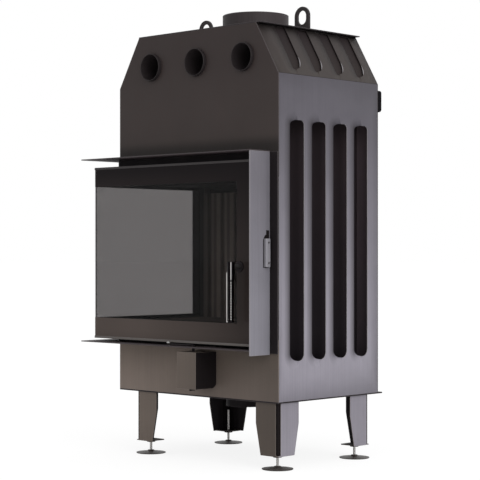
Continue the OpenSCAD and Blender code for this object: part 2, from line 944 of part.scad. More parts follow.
function coil_point(i) = let(a = 360 * i / coil_steps, n = coil_turns * coil_steps)
    [coil_r * cos(a), coil_r * sin(a), coil_low + wire_d + coil_run * i / n];
coil_points = concat([[coil_r, 0, coil_low]],
                     [for (i = [0:coil_turns * coil_steps]) coil_point(i)],
                     [[coil_r, 0, coil_high]]);
coil_last = len(coil_points) - 1;
function coil_ring(i) = let(
        p = coil_points[i],
        end = i == 0 || i == coil_last,
        a = end ? 0 : 360 * (i - 1) / coil_steps,
        out = [cos(a), sin(a), 0],
        tangent = end ? [0, 0, 1] : [-sin(a), cos(a), coil_pitch / (2 * PI * coil_r)],
        side = end ? [0, 1, 0] : cross(tangent / norm(tangent), out))
    [for (k = [0:coil_sides - 1])
        p + wire_d / 2 * (cos(360 * k / coil_sides) * out
                          + (end ? 1 : -1) * sin(360 * k / coil_sides)
                          * (end ? side : -side))];

coil_gap = min([for (i = [1:coil_last - 1 - coil_steps])
                norm(coil_points[i + coil_steps] - coil_points[i])]) - wire_d;
echo(coil_gap = coil_gap);

module handle_coil() {
    rings = [for (i = [0:coil_last]) coil_ring(i)];
    points = [for (ring = rings) for (p = ring) p];
    walls = [for (i = [0:coil_last - 1]) for (k = [0:coil_sides - 1])
        let(a = i * coil_sides + k, b = i * coil_sides + (k + 1) % coil_sides)
        each [[a, b, b + coil_sides], [a, b + coil_sides, a + coil_sides]]];
    low_cap = [[for (k = [0:coil_sides - 1]) coil_sides - 1 - k]];
    high_cap = [[for (k = [0:coil_sides - 1]) coil_last * coil_sides + k]];
    color(polished) place() translate([handle_x, grip_y, 0])
        polyhedron(points, concat(low_cap, walls, high_cap));
}

bar_gap_share = 0.95;

// The flat bar beside the coil, held by a foot on the cap and a lug on the hub
module handle_bar() {
    bar_x = -bar_gap_share * hub_d / 2 - bar_t;
    bar_top = hub_low + hub_d;
    color(polished) place() translate([handle_x, grip_y, 0]) difference() {
        union() {
            box([bar_x, -bar_w / 2, grip_low], [bar_x + bar_t, bar_w / 2, bar_top]);
            box([bar_x, -bar_w / 2, grip_low], [-core_d / 2 - wire_d / 2, bar_w / 2,
                grip_low + bar_t]);
            box([bar_x, -bar_w / 2, bar_top - bar_t], [0, bar_w / 2, bar_top]);
        }
        translate([0, 0, grip_low - over])
            cylinder(d = core_d + 2 * wire_d, h = grip_cap_h + 2 * over);
        translate([0, 0, hub_low]) cylinder(d = hub_d, h = hub_high - hub_low);
    }
}

// The cam inside the stile: its nose has a round end about the spindle and turns down
module latch_cam() {
    color(steel_grey) place()
        translate([handle_x, -cam_y + cam_t / 2, handle_z]) rotate([90, 0, 0])
            linear_extrude(cam_t) difference() {
                union() {
                    circle(cam_hub_r);
                    intersection() {
                        translate([0, -cam_h / 2]) square([cam_nose_r + over, cam_h]);
                        circle(cam_nose_r);
                    }
                }
                circle(handle_spindle_r);
            }
}

air_box_wall = 2;
air_box_r = 18;
lid_bore_r = spindle_r + fit_clear;

// A folded box under the ledge, open to the port behind it
module air_box() {
    color("#5a4f48") place() difference() {
        translate([air_box_left, 0, air_box_base]) rotate([90, 0, 90])
            linear_extrude(air_box_w) air_box_side(0);
        translate([air_box_left + air_box_wall, 0, air_box_base]) rotate([90, 0, 90])
            linear_extrude(air_box_w - 2 * air_box_wall) air_box_side(air_box_wall);
        box([air_box_left + air_port_inset, -2 * air_box_wall, air_port_low],
            [air_box_right - air_port_inset, over, air_port_high]);
        translate([spindle_x, -spindle_y, air_box_base - over])
            cylinder(r = lid_bore_r, h = air_box_h + 2 * over);
        box([spindle_x - valve_r, -spindle_y + valve_r / 2, air_box_top - air_box_wall - over],
            [spindle_x + valve_r / 2, -spindle_y + valve_r, air_box_top + over]);
    }
}

module air_box_side(inset) {
    r = air_box_r - inset;
    difference() {
        translate([-ledge_reach + inset, inset])
            square([ledge_reach - 2 * inset, air_box_h - 2 * inset]);
        translate([-inset - r, inset]) difference() {
            translate([0, -over]) square([r + over, r + over]);
            translate([0, r]) circle(r);
        }
    }
}

nut_h = 7;
nut_r = 5.5;
lever_t = 3;
lever_w = 12;
lever_clear = 2;
lever_low = ledge_bottom_z + ledge_t + lever_clear;
lever_knob_r = 6;
lever_knob_h = 13;
knob_edge = 1;

module at_spindle() {
    translate([spindle_x, -spindle_y, 0]) children();
}

// The spindle, its nut below the box and the flat arm above the ledge
module air_lever() {
    color(black) place() at_spindle() {
        translate([0, 0, air_box_base - seat_gap - nut_h])
            cylinder(r = spindle_r, h = lever_low + lever_t - air_box_base + seat_gap + nut_h);
        translate([0, 0, air_box_base - seat_gap - nut_h]) cylinder(r = nut_r, h = nut_h);
        rotate([0, 0, lever_turn]) {
            translate([0, 0, lever_low]) linear_extrude(lever_t) {
                translate([-lever_len, -lever_w / 2]) square([lever_len, lever_w]);
                circle(d = lever_w);
                translate([-lever_len, 0]) circle(d = lever_w);
            }
        }
    }
}

module air_lever_knob() {
    color(polished) place() at_spindle() rotate([0, 0, lever_turn])
        translate([-lever_len, 0, lever_low + lever_t]) {
            cylinder(r = lever_knob_r, h = lever_knob_h - knob_edge);
            translate([0, 0, lever_knob_h - knob_edge])
                cylinder(r1 = lever_knob_r, r2 = lever_knob_r - knob_edge, h = knob_edge);
        }
}

valve_r = 24;
valve_t = 2;

// The flap under the lid that opens and closes the air slot
module air_valve() {
    color(steel_grey) place() at_spindle()
        translate([0, 0, air_box_top - air_box_wall - seat_gap - valve_t])
            linear_extrude(valve_t) difference() {
                circle(valve_r);
                circle(spindle_r);
                translate([0, -valve_r]) square([valve_r + over, valve_r + over]);
            }
}

leg_wall = 3;
leg_nut_d = 25;
leg_nut_h = 5;

module leg_profile() {
    polygon([[leg_gap, leg_low_z], [leg_low_w, leg_low_z], [leg_top_w, leg_taper_z],
             [leg_top_w, body_bottom], [leg_gap, body_bottom]]);
}

// A leg drawn at its outer corner, with the casing towards +X and +Y
module leg() {
    difference() {
        union() {
            translate([0, leg_wall, 0]) rotate([90, 0, 0]) linear_extrude(leg_wall)
                leg_profile();
            rotate([90, 0, 90]) linear_extrude(leg_wall) leg_profile();
            box([0, 0, leg_low_z], [leg_foot_plate, leg_foot_plate, leg_low_z + leg_wall]);
            translate([foot_axis, foot_axis, leg_low_z - leg_nut_h])
                cylinder(d = leg_nut_d, h = leg_nut_h);
        }
        translate([foot_axis, foot_axis, leg_low_z - leg_nut_h - over])
            cylinder(r = foot_rod_d / 2 + fit_clear,
                     h = leg_nut_h + leg_wall + 2 * over);
    }
}

// Legs and feet stand in from the casing's corners; the left and rear ones stand in further
module at_corner(left, rear) {
    x = left ? -half_w + leg_left_inset : half_w - leg_inset;
    y = rear ? body_d - leg_rear_inset : leg_inset;
    place() translate([x, y, 0])
        mirror([left ? 0 : 1, 0, 0]) mirror([0, rear ? 1 : 0, 0]) children();
}

module leg_front_right() {
    color("#5d534b") at_corner(false, false) leg();
}

module leg_front_left() {
    color("#5d534b") at_corner(true, false) leg();
}

module leg_rear_right() {
    color("#5d534b") at_corner(false, true) leg();
}

module leg_rear_left() {
    color("#5d534b") at_corner(true, true) leg();
}

foot_rise = 2;

// A foot: a shallow disc and the rod that screws up into the leg
module foot() {
    translate([foot_axis, foot_axis, 0]) {
        cylinder(d = foot_d, h = foot_t / 2);
        translate([0, 0, foot_t / 2])
            cylinder(d1 = foot_d, d2 = foot_d / 4, h = foot_t / 2 + foot_rise);
        cylinder(d = foot_rod_d, h = foot_rod_len);
    }
}

module foot_front_right() {
    color("#3b3532") at_corner(false, false) foot();
}

module foot_front_left() {
    color("#3b3532") at_corner(true, false) foot();
}

module foot_rear_right() {
    color("#3b3532") at_corner(false, true) foot();
}

module foot_rear_left() {
    color("#3b3532") at_corner(true, true) foot();
}

base_plate();
lower_front_panel();
upper_front_panel();
right_side_panel();
left_side_panel();
rear_panel();
right_chamfer_panel();
left_chamfer_panel();
top_plate();
flue_collar();
lifting_eye_left();
lifting_eye_right();
hot_air_collar_left();
hot_air_collar_middle();
hot_air_collar_right();
rear_block();
air_intake_spigot();
air_duct();
firebox_floor();
firebox_right_wall();
firebox_rear_wall();
firebox_hood();
firebox_roof();
firebox_cradle();
lining_back();
lining_right();
lining_floor();
baffle();
front_frame();
top_ledge();
bottom_ledge();
cheek_plate();
latch_keeper();
door_frame();
glass_front();
glass_side();
door_gasket();
door_trim();
hinge_pin_upper();
hinge_pin_lower();
handle_rosette();
handle_hub();
handle_grip();
handle_coil();
handle_bar();
latch_cam();
air_box();
air_lever();
air_lever_knob();
air_valve();
leg_front_right();
leg_front_left();
leg_rear_right();
leg_rear_left();
foot_front_right();
foot_front_left();
foot_rear_right();
foot_rear_left();
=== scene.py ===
# %% [markdown]
# # A corner fireplace insert
#
# The object is a steel casing round a firebox. It has an L-shaped glass door on the left
# corner, four louvres in its right side, gills in both slopes, three warm-air collars, a flue
# collar, two lifting eyes and four screw feet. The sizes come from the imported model, which is
# loaded first and stays fixed. This script gives each piece its rounded edges, its small parts
# and its finish.

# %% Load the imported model
import math

import bmesh
import bpy
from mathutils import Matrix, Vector, geometry


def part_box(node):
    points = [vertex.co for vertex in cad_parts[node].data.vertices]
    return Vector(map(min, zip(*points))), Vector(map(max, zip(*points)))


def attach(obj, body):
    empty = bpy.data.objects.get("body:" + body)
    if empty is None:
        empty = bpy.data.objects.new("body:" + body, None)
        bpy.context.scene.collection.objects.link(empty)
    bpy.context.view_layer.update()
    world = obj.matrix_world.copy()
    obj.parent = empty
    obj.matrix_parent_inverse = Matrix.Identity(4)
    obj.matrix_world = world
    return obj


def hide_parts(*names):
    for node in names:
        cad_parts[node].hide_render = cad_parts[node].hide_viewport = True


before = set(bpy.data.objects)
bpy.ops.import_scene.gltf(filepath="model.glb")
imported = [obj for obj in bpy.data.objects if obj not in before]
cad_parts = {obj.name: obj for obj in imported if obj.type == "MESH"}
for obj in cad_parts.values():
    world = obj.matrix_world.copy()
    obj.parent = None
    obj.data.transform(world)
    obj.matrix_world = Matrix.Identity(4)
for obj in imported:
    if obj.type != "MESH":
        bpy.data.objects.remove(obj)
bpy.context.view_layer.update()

# %% [markdown]
# ## Places in millimetres
#
# A fitter measures this insert from the middle of its front sheet and from the floor. One
# function turns such a measure into the frame's metres, so that every piece below can be
# written with the sizes that are on the drawing.

# %% The casing's own measures
MM = 0.001
sheet_low, sheet_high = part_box("upper_front_panel")
MIDDLE = (sheet_low.x + sheet_high.x) / 2
FRONT = sheet_low.y
HALF_WIDTH = (sheet_high.x - sheet_low.x) / 2 / MM
CASING_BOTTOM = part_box("base_plate")[0].z / MM
SHEET = (sheet_high.y - sheet_low.y) / MM
REAR = (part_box("rear_panel")[1].y - FRONT) / MM
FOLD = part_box("right_side_panel")[1].z / MM
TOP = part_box("top_plate")[1].z / MM


def at(x, y, z):
    """A point in mm from the casing's middle, its front plane and the floor."""
    return Vector((MIDDLE + x * MM, FRONT + y * MM, z * MM))


def plan_centre(node):
    """The middle of a node's box, seen from above, at the floor's height."""
    low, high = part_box(node)
    return Vector(((low.x + high.x) / 2, (low.y + high.y) / 2, 0))


RIGHT, BACK, UP = Vector((1, 0, 0)), Vector((0, 1, 0)), Vector((0, 0, 1))
print(f"casing {2 * HALF_WIDTH:.0f} mm wide, {REAR:.0f} mm deep, folds at {FOLD:.0f} mm")

# %% [markdown]
# ## The camera
#
# The photograph looks level, from the front right, with a long lens, so the verticals stay
# parallel. The horizon lies a little below the picture's middle. That is a shift of the lens
# and not a tilt, which would make the verticals lean.

# %% Camera
PHOTO_PIXELS, HORIZON_DROP = 480, 11
LENS, SENSOR = 116.4, 36
CAMERA_PLACE, CAMERA_TURN = (3.23, -3.3221, 0.605), 43.79
camera_data = bpy.data.cameras.new("camera")
camera_data.lens = LENS
camera_data.sensor_width = SENSOR
camera_data.shift_y = HORIZON_DROP / PHOTO_PIXELS
camera = bpy.data.objects.new("camera", camera_data)
camera.location = CAMERA_PLACE
camera.rotation_euler = (math.radians(90), 0, math.radians(CAMERA_TURN))
bpy.context.collection.objects.link(camera)
bpy.context.scene.camera = camera
print("camera at", tuple(round(value, 2) for value in camera.location))

# %% [markdown]
# ## One way to write a node
#
# Every material and every geometry tree below is built from nodes. One small function adds a
# node, sets its properties and fills or links its inputs, and another turns a colour picked
# from a swatch into the linear values that a shader works in.

# %% Node and colour helpers
def add(tree, kind, inputs=None, **settings):
    """Adds a node to a tree and sets its properties.

    Each input is a value, an output of another node, or a node, for its first output.
    """
    made = tree.nodes.new(kind)
    for name, value in settings.items():
        setattr(made, name, value)
    for socket, source in (inputs or {}).items():
        if isinstance(source, bpy.types.Node):
            source = source.outputs[0]
        if isinstance(source, bpy.types.NodeSocket):
            tree.links.new(source, made.inputs[socket])
        else:
            made.inputs[socket].default_value = source
    return made


def linear(colour):
    """An sRGB hex colour as linear RGBA."""
    shares = [int(colour[i:i + 2], 16) / 255 for i in (1, 3, 5)]
    return (*[s / 12.92 if s <= 0.04045 else ((s + 0.055) / 1.055) ** 2.4 for s in shares], 1)


def start_finish(name):
    """An empty material and its tree."""
    material = bpy.data.materials.new(name)
    material.use_nodes = True
    material.node_tree.nodes.clear()
    return material, material.node_tree


def close_finish(material, tree, shader):
    """Gives a material its output and reports it."""
    add(tree, "ShaderNodeOutputMaterial", {"Surface": shader})
    print("finish:", material.name)
    return material


# %% [markdown]
# ## A white studio
#
# The photograph has no visible room: the floor and the background are both white. The light
# on the object is a plain soft sky with one large soft lamp from the front right, and the
# white that the camera, the glass and the metal see comes from Light Path, so that it adds
# no light to the object. The floor still takes the object's shadow.

# %% Sky
SKY_LIGHT = 0.8
world = bpy.data.worlds.new("white_studio")
bpy.context.scene.world = world
world.use_nodes = True
sky = world.node_tree
sky.nodes.clear()
ray = add(sky, "ShaderNodeLightPath")
seen = add(sky, "ShaderNodeMath", {
    0: ray.outputs["Is Camera Ray"], 1: ray.outputs["Is Glossy Ray"]}, operation="MAXIMUM")
seen = add(sky, "ShaderNodeMath", {
    0: seen, 1: ray.outputs["Is Transmission Ray"]}, operation="MAXIMUM")
power = add(sky, "ShaderNodeMapRange", {"Value": seen, "To Min": SKY_LIGHT, "To Max": 1.0})
glow = add(sky, "ShaderNodeBackground", {"Strength": power, "Color": (1, 1, 1, 1)})
add(sky, "ShaderNodeOutputWorld", {"Surface": glow})
bpy.context.scene.view_settings.view_transform = "Standard"
print("sky light", SKY_LIGHT)

# %% Floor
FLOOR_LIFT = 0.84
FLOOR_SEEN, FLOOR_LIT = 0.22, 0.82
FLOOR_REACH = 60
floor_paint, tree = start_finish("studio_floor_white")
ray = add(tree, "ShaderNodeLightPath")
seen = add(tree, "ShaderNodeMath", {
    0: ray.outputs["Is Camera Ray"], 1: ray.outputs["Is Transmission Ray"]}, operation="MAXIMUM")
lift = add(tree, "ShaderNodeMath", {0: seen, 1: FLOOR_LIFT}, operation="MULTIPLY")
tone = add(tree, "ShaderNodeMix", {
    0: seen, 6: (FLOOR_LIT,) * 3 + (1,), 7: (FLOOR_SEEN,) * 3 + (1,)}, data_type="RGBA")
matt = add(tree, "ShaderNodeBsdfDiffuse", {"Color": tone.outputs[2]})
own = add(tree, "ShaderNodeEmission", {"Strength": lift})
close_finish(floor_paint, tree, add(tree, "ShaderNodeAddShader", {0: matt, 1: own}))

floor_mesh = bpy.data.meshes.new("studio_floor")
floor_mesh.from_pydata([(-FLOOR_REACH, -FLOOR_REACH, 0), (FLOOR_REACH, -FLOOR_REACH, 0),
                        (FLOOR_REACH, FLOOR_REACH, 0), (-FLOOR_REACH, FLOOR_REACH, 0)],
                       [], [(0, 1, 2, 3)])
floor_mesh.materials.append(floor_paint)
studio_floor = bpy.data.objects.new("studio_floor", floor_mesh)
bpy.context.collection.objects.link(studio_floor)

# %% Lamp
LAMP_SIZE, LAMP_WATTS = 3.0, 70
LAMP_PLACE, LAMP_TARGET = Vector((4.2, -1.4, 2.6)), Vector((0, 0, 0.7))
lamp_data = bpy.data.lights.new("soft_box", "AREA")
lamp_data.size = LAMP_SIZE
lamp_data.energy = LAMP_WATTS
lamp = bpy.data.objects.new("soft_box", lamp_data)
lamp.location = LAMP_PLACE
lamp.rotation_euler = (LAMP_TARGET - LAMP_PLACE).to_track_quat("-Z", "Y").to_euler()
bpy.context.collection.objects.link(lamp)
print("lamp", LAMP_WATTS, "W")

# %% [markdown]
# ## Steel sheet
#
# The casing is hot-rolled steel sheet under a thin matt coat. What the eye gets is a warm
# grey that drifts over the height, faint clouds from the rolling, fine upright streaks and a
# grain. The drift over the height is painted light and shade, mostly lighter towards the
# floor. The clouds are about 140 mm across, the streaks 5 mm wide, and the grain is drawn at
# 2 mm, coarser than the real one, so that it shows at all. A thin coat shines little, so the
# specular level stays low, which also keeps a dark sheet dark in a white room.
#
# Blender's noise rarely leaves the middle of its range, so each pattern is stretched from
# between two usual values to what the finish needs.

# %% Finish: steel sheet
CLOUD = 140
STREAK_WIDE, STREAK_TALL = 5, 260
GRAIN = 2
USUAL_NOISE = {"From Min": 0.3, "From Max": 0.7}
MULTIPLY = {"data_type": "RGBA", "blend_type": "MULTIPLY"}


def steel_sheet(name, low, high=None, z_low=CASING_BOTTOM, z_high=TOP, drift=0.06, rough=0.55,
                shine=0.2, streak=0.05, roll=None, under=None, across=None):
    """Sheet steel in one colour, or going from low to high between two heights in mm.

    The change from low to high is painted light and shade. roll is the colour of the painted
    shade that pressed-in parts reach. under is painted shade beside an overhang or a ledge: the
    height in mm where that starts, the height where it ends, and the share of the colour left
    there. across is painted light and shade from the left to the right: the colour's factors at
    the casing's left and right edge, between which it goes evenly.
    """
    material, tree = start_finish(name)
    place = add(tree, "ShaderNodeTexCoord").outputs["Object"]
    split = add(tree, "ShaderNodeSeparateXYZ", {0: place})
    # The change over the height is painted light and shade.
    height = add(tree, "ShaderNodeMapRange", {
        "Value": split.outputs["Z"], "From Min": z_low * MM, "From Max": z_high * MM},
        interpolation_type="SMOOTHSTEP")
    colour = add(tree, "ShaderNodeMix", {
        0: height, 6: linear(low), 7: linear(high or low)}, data_type="RGBA").outputs[2]
    clouds = add(tree, "ShaderNodeTexNoise", {
        "Vector": place, "Scale": 1 / (CLOUD * MM), "Detail": 4, "Roughness": 0.55})
    upright = add(tree, "ShaderNodeMapping", {
        "Vector": place, "Scale": (1, 1, STREAK_WIDE / STREAK_TALL)})
    streaks = add(tree, "ShaderNodeTexNoise", {
        "Vector": upright, "Scale": 1 / (STREAK_WIDE * MM), "Detail": 2, "Roughness": 0.5})
    shades = [add(tree, "ShaderNodeMapRange", {
        "Value": pattern, **USUAL_NOISE, "To Min": 1 - reach, "To Max": 1 + reach})
        for pattern, reach in ((clouds, drift), (streaks, streak))]
    # Painted light and shade from the left to the right.
    if across:
        shades.append(add(tree, "ShaderNodeMapRange", {
            "Value": split.outputs["X"], "From Min": sheet_low.x, "From Max": sheet_high.x,
            "To Min": across[0], "To Max": across[1]}))
    # Painted shade beside an overhang or a ledge.
    if under:
        shades.append(add(tree, "ShaderNodeMapRange", {
            "Value": split.outputs["Z"], "From Min": under[0] * MM, "From Max": under[1] * MM,
            "To Min": 1.0, "To Max": under[2]}, interpolation_type="SMOOTHSTEP"))
    for shade in shades:
        colour = add(tree, "ShaderNodeMix", {0: 1.0, 6: colour, 7: shade}, **MULTIPLY).outputs[2]
    # Painted shade where the rolled lips turn out of the light.
    if roll:
        depth = add(tree, "ShaderNodeAttribute", attribute_name="roll")
        colour = add(tree, "ShaderNodeMix", {
            0: depth.outputs["Fac"], 6: colour, 7: linear(roll)}, data_type="RGBA").outputs[2]
    dull = add(tree, "ShaderNodeMapRange", {
        "Value": streaks, **USUAL_NOISE, "To Min": rough - 0.06, "To Max": rough + 0.06})
    grain = add(tree, "ShaderNodeTexNoise", {
        "Vector": place, "Scale": 1 / (GRAIN * MM), "Detail": 3, "Roughness": 0.6})
    relief = add(tree, "ShaderNodeBump", {"Height": grain, "Strength": 0.12, "Distance": 0.2 * MM})
    shader = add(tree, "ShaderNodeBsdfPrincipled", {
        "Base Color": colour, "Roughness": dull, "Normal": relief, "Specular IOR Level": shine})
    return close_finish(material, tree, shader)


# %% The casing's sheets
# Each sheet's colours are painted light and shade on one coat: brown where a sheet faces forwards
# and grey where it faces right. OVER_TOP_LEDGE and UNDER_TOP_PLATE are painted shade above the top
# ledge and under the top plate.
OVER_TOP_LEDGE = (932, 896, 0.36)
UNDER_TOP_PLATE = (1206, TOP, 0.3)
LOUVRE_LOW, LOUVRE_HIGH = 299, 969
upper_front_steel = steel_sheet("upper_front_steel", "#3b3331", "#332b2a", 855, TOP,
                                under=OVER_TOP_LEDGE)
lower_front_steel = steel_sheet("lower_front_steel", "#71665f", "#6a5f57", 190, 331,
                                across=(1.28, 0.66))
side_steel = steel_sheet("side_steel", "#97939d", "#5a575e", 230, FOLD, roll="#2c282c")
slope_steel = steel_sheet("slope_steel", "#3e3836", "#383231", FOLD, TOP, roll="#241f1f",
                          under=UNDER_TOP_PLATE)
left_steel = steel_sheet("left_steel", "#4f4845", "#3a3432", 190, FOLD)
cheek_steel = steel_sheet("cheek_steel", "#84828a", "#716e75", 319, 879)
leg_front_steel = steel_sheet("leg_front_steel", "#655b54", across=(1.25, 0.62))
leg_side_steel = steel_sheet("leg_side_steel", "#918d96", "#8b8790", 38, 186)
# The flue collar's change from left to right is painted light and shade.
flue_steel = steel_sheet("flue_steel", "#3b3536", drift=0.05, streak=0.12,
                         across=(-0.6, 2.2))
shield_steel = steel_sheet("shield_steel", "#2b262a", "#362e31", LOUVRE_LOW, LOUVRE_HIGH,
                           rough=0.7, shine=0.1)
# The rear shield is lighter than the side shield as painted light, where the rear corner gets
# little light.
rear_shield_steel = steel_sheet("rear_shield_steel", "#4b4348", "#5a4f53", LOUVRE_LOW,
                                LOUVRE_HIGH, rough=0.7, shine=0.1)
slope_shield_steel = steel_sheet("slope_shield_steel", "#312b2a", "#2b2526", FOLD, TOP,
                                 rough=0.7, shine=0.1)

# %% Black coats, cut edges and worn edges
stove_black = steel_sheet("stove_black", "#201c1e", rough=0.6, shine=0.12)
inner_black = steel_sheet("inner_black", "#1c1819", rough=0.75, shine=0.08)
ledge_black = steel_sheet("ledge_black", "#3f383a", rough=0.6, shine=0.12)
keeper_steel = steel_sheet("keeper_steel", "#8a888e", rough=0.4, shine=0.3)
foot_steel = steel_sheet("foot_steel", "#3b3532", rough=0.45, shine=0.3)
# Cut and worn edges are bare or worn metal, and their lighter colour is also a painted highlight
# along each edge; where it changes over the height, that is painted light and shade.
cut_edge_and_sheen_steel = steel_sheet("cut_edge_and_sheen_steel", "#a19d9f", "#8e8a8d", rough=0.4, shine=0.4)
worn_edge_and_sheen_black = steel_sheet("worn_edge_and_sheen_black", "#4a4446", rough=0.45, shine=0.3)
worn_edge_and_sheen_brown = steel_sheet("worn_edge_and_sheen_brown", "#7b726b", "#6b625c", rough=0.45, shine=0.3)
# The door trim is lighter low and darker high: painted light and shade.
trim_steel = steel_sheet("trim_steel", "#635e5b", "#2e292a", 340, 870, rough=0.4, shine=0.3)
collar_steel = steel_sheet("collar_steel", "#2b2627", rough=0.5, shine=0.2)
block_black = steel_sheet("block_black", "#121013", rough=0.8, shine=0.05)

# %% [markdown]
# ## Bare metals
#
# The grip's flat bar is polished stainless steel, a bright metal that mirrors the white room
# and the dark casing. The lever's knob, the spindle and the hinge pins are zinc-plated, which
# is duller and slightly blotched. The hub, the wound wire and its core are dark chrome. Each
# of them has one painted highlight down its side, a bright line where the light would catch
# it. It is drawn in the finish, by the distance from an upright plane through the bar's axis.

# %% Finish: polished steel and zinc
def bright_metal(name, colour, rough, brush, brush_mm):
    """Bare metal whose roughness drifts along brush lines of a real width."""
    material, tree = start_finish(name)
    place = add(tree, "ShaderNodeTexCoord").outputs["Object"]
    lines = add(tree, "ShaderNodeMapping", {"Vector": place, "Scale": brush})
    grain = add(tree, "ShaderNodeTexNoise", {
        "Vector": lines, "Scale": 1 / (brush_mm * MM), "Detail": 3, "Roughness": 0.6})
    dull = add(tree, "ShaderNodeMapRange", {
        "Value": grain, **USUAL_NOISE, "To Min": rough * 0.7, "To Max": rough * 1.3})
    tone = add(tree, "ShaderNodeMapRange", {
        "Value": grain, **USUAL_NOISE, "To Min": 0.93, "To Max": 1.04})
    shade = add(tree, "ShaderNodeMix", {0: 1.0, 6: linear(colour), 7: tone}, **MULTIPLY)
    relief = add(tree, "ShaderNodeBump", {"Height": grain, "Strength": 0.08, "Distance": 0.1 * MM})
    shader = add(tree, "ShaderNodeBsdfPrincipled", {
        "Base Color": shade.outputs[2], "Roughness": dull, "Normal": relief, "Metallic": 1.0})
    return close_finish(material, tree, shader)


polished_steel = bright_metal("polished_steel", "#d6d3d1", 0.14, (1, 1, 0.04), 1.5)
zinc_plate = bright_metal("zinc_plate", "#a8a8a6", 0.38, (1, 1, 1), 4)
rod_zinc = bright_metal("rod_zinc", "#d2cfcc", 0.3, (1, 1, 1), 4)

# %% Finish: dark chrome with a painted highlight
def chrome_with_painted_line(name, dark, bright, axis, across, width, crest):
    """Dark chrome on an upright round bar, with one painted highlight line, width mm wide.

    The line lies in the upright plane through the bar's axis whose normal is across. It shows
    only where the metal is at least crest mm from that axis.
    """
    material, tree = start_finish(name)
    place = add(tree, "ShaderNodeTexCoord").outputs["Object"]
    offset = add(tree, "ShaderNodeVectorMath", {0: place, 1: axis}, operation="SUBTRACT")
    side = add(tree, "ShaderNodeVectorMath", {0: offset, 1: across}, operation="DOT_PRODUCT")
    away = add(tree, "ShaderNodeMath", {0: side.outputs["Value"]}, operation="ABSOLUTE")
    # The painted highlight: bright near the plane through the axis.
    line = add(tree, "ShaderNodeMapRange", {
        "Value": away, "From Min": width * 0.3 * MM, "From Max": width * 0.7 * MM, "To Min": 1.0,
        "To Max": 0.0}, interpolation_type="SMOOTHSTEP")
    level = add(tree, "ShaderNodeVectorMath", {0: offset, 1: (1, 1, 0)}, operation="MULTIPLY")
    radius = add(tree, "ShaderNodeVectorMath", {0: level}, operation="LENGTH")
    proud = add(tree, "ShaderNodeMapRange", {
        "Value": radius.outputs["Value"], "From Min": (crest - 0.4) * MM, "From Max": crest * MM})
    line = add(tree, "ShaderNodeMath", {0: line, 1: proud}, operation="MULTIPLY")
    colour = add(tree, "ShaderNodeMix", {
        0: line, 6: linear(dark), 7: linear(bright)}, data_type="RGBA")
    grain = add(tree, "ShaderNodeTexNoise", {
        "Vector": place, "Scale": 1 / (GRAIN * MM), "Detail": 2})
    dull = add(tree, "ShaderNodeMapRange", {"Value": grain, "To Min": 0.16, "To Max": 0.3})
    shader = add(tree, "ShaderNodeBsdfPrincipled", {
        "Base Color": colour.outputs[2], "Roughness": dull, "Metallic": 1.0})
    return close_finish(material, tree, shader)


# %% [markdown]
# ## Board and rope
#
# The firebox is lined with pressed vermiculite, a pale flaky board that smoke soon browns. The
# rear board is fluted, with painted shade in its grooves, and it is darker in its left corner
# and towards its top.
# The door seals on a flat braided glass rope. All three are rough and take no shine.

# %% Finish: board and rope
board_low, board_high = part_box("lining_back")
CORNER_DARKENING = 60
RIB = 29


def soft_board(name, pale, dark, flake_mm, lift, flutes=None):
    """A rough non-metal with flakes or strands of a real size, which stand out by lift.

    flutes is the width of one rib. All three sizes are in mm.
    """
    material, tree = start_finish(name)
    place = add(tree, "ShaderNodeTexCoord").outputs["Object"]
    flakes = add(tree, "ShaderNodeTexVoronoi", {"Vector": place, "Scale": 1 / (flake_mm * MM)})
    soot = add(tree, "ShaderNodeTexNoise", {
        "Vector": place, "Scale": 1 / (CLOUD * MM), "Detail": 5, "Roughness": 0.65})
    colour = add(tree, "ShaderNodeMix", {
        0: soot, 6: linear(pale), 7: linear(dark)}, data_type="RGBA")
    if flutes:
        split = add(tree, "ShaderNodeSeparateXYZ", {0: place})
        wave = add(tree, "ShaderNodeMath", {
            0: split.outputs["X"], 1: flutes / 2 * MM}, operation="PINGPONG")
        # Painted shade in the grooves of the flutes.
        groove = add(tree, "ShaderNodeMapRange", {
            "Value": wave, "From Min": flutes * 0.12 * MM, "From Max": flutes * 0.3 * MM,
            "To Min": 0.55, "To Max": 1.0}, interpolation_type="SMOOTHSTEP")
        corner = add(tree, "ShaderNodeMapRange", {
            "Value": split.outputs["X"], "From Min": board_low.x,
            "From Max": board_low.x + CORNER_DARKENING * MM, "To Min": 0.4, "To Max": 1.1})
        height = add(tree, "ShaderNodeMapRange", {
            "Value": split.outputs["Z"], "From Min": board_low.z, "From Max": board_high.z,
            "To Min": 1.5, "To Max": 0.9})
        for shade in (groove, corner, height):
            colour = add(tree, "ShaderNodeMix", {
                0: 1.0, 6: colour.outputs[2], 7: shade}, **MULTIPLY)
    tone = add(tree, "ShaderNodeMapRange", {
        "Value": flakes.outputs["Distance"], "To Min": 1.08, "To Max": 0.85})
    shade = add(tree, "ShaderNodeMix", {0: 1.0, 6: colour.outputs[2], 7: tone}, **MULTIPLY)
    relief = add(tree, "ShaderNodeBump", {
        "Height": flakes.outputs["Distance"], "Strength": 0.5, "Distance": lift * MM})
    shader = add(tree, "ShaderNodeBsdfPrincipled", {
        "Base Color": shade.outputs[2], "Normal": relief, "Roughness": 0.9,
        "Specular IOR Level": 0.15})
    return close_finish(material, tree, shader)


vermiculite = soft_board("vermiculite", "#8a8078", "#5d554f", 3, 0.4)
fluted_board = soft_board("fluted_vermiculite", "#ab9f98", "#7d726c", 3, 0.4, flutes=RIB)
glass_rope = soft_board("glass_rope", "#35332f", "#1f1e1d", 2, 0.3)

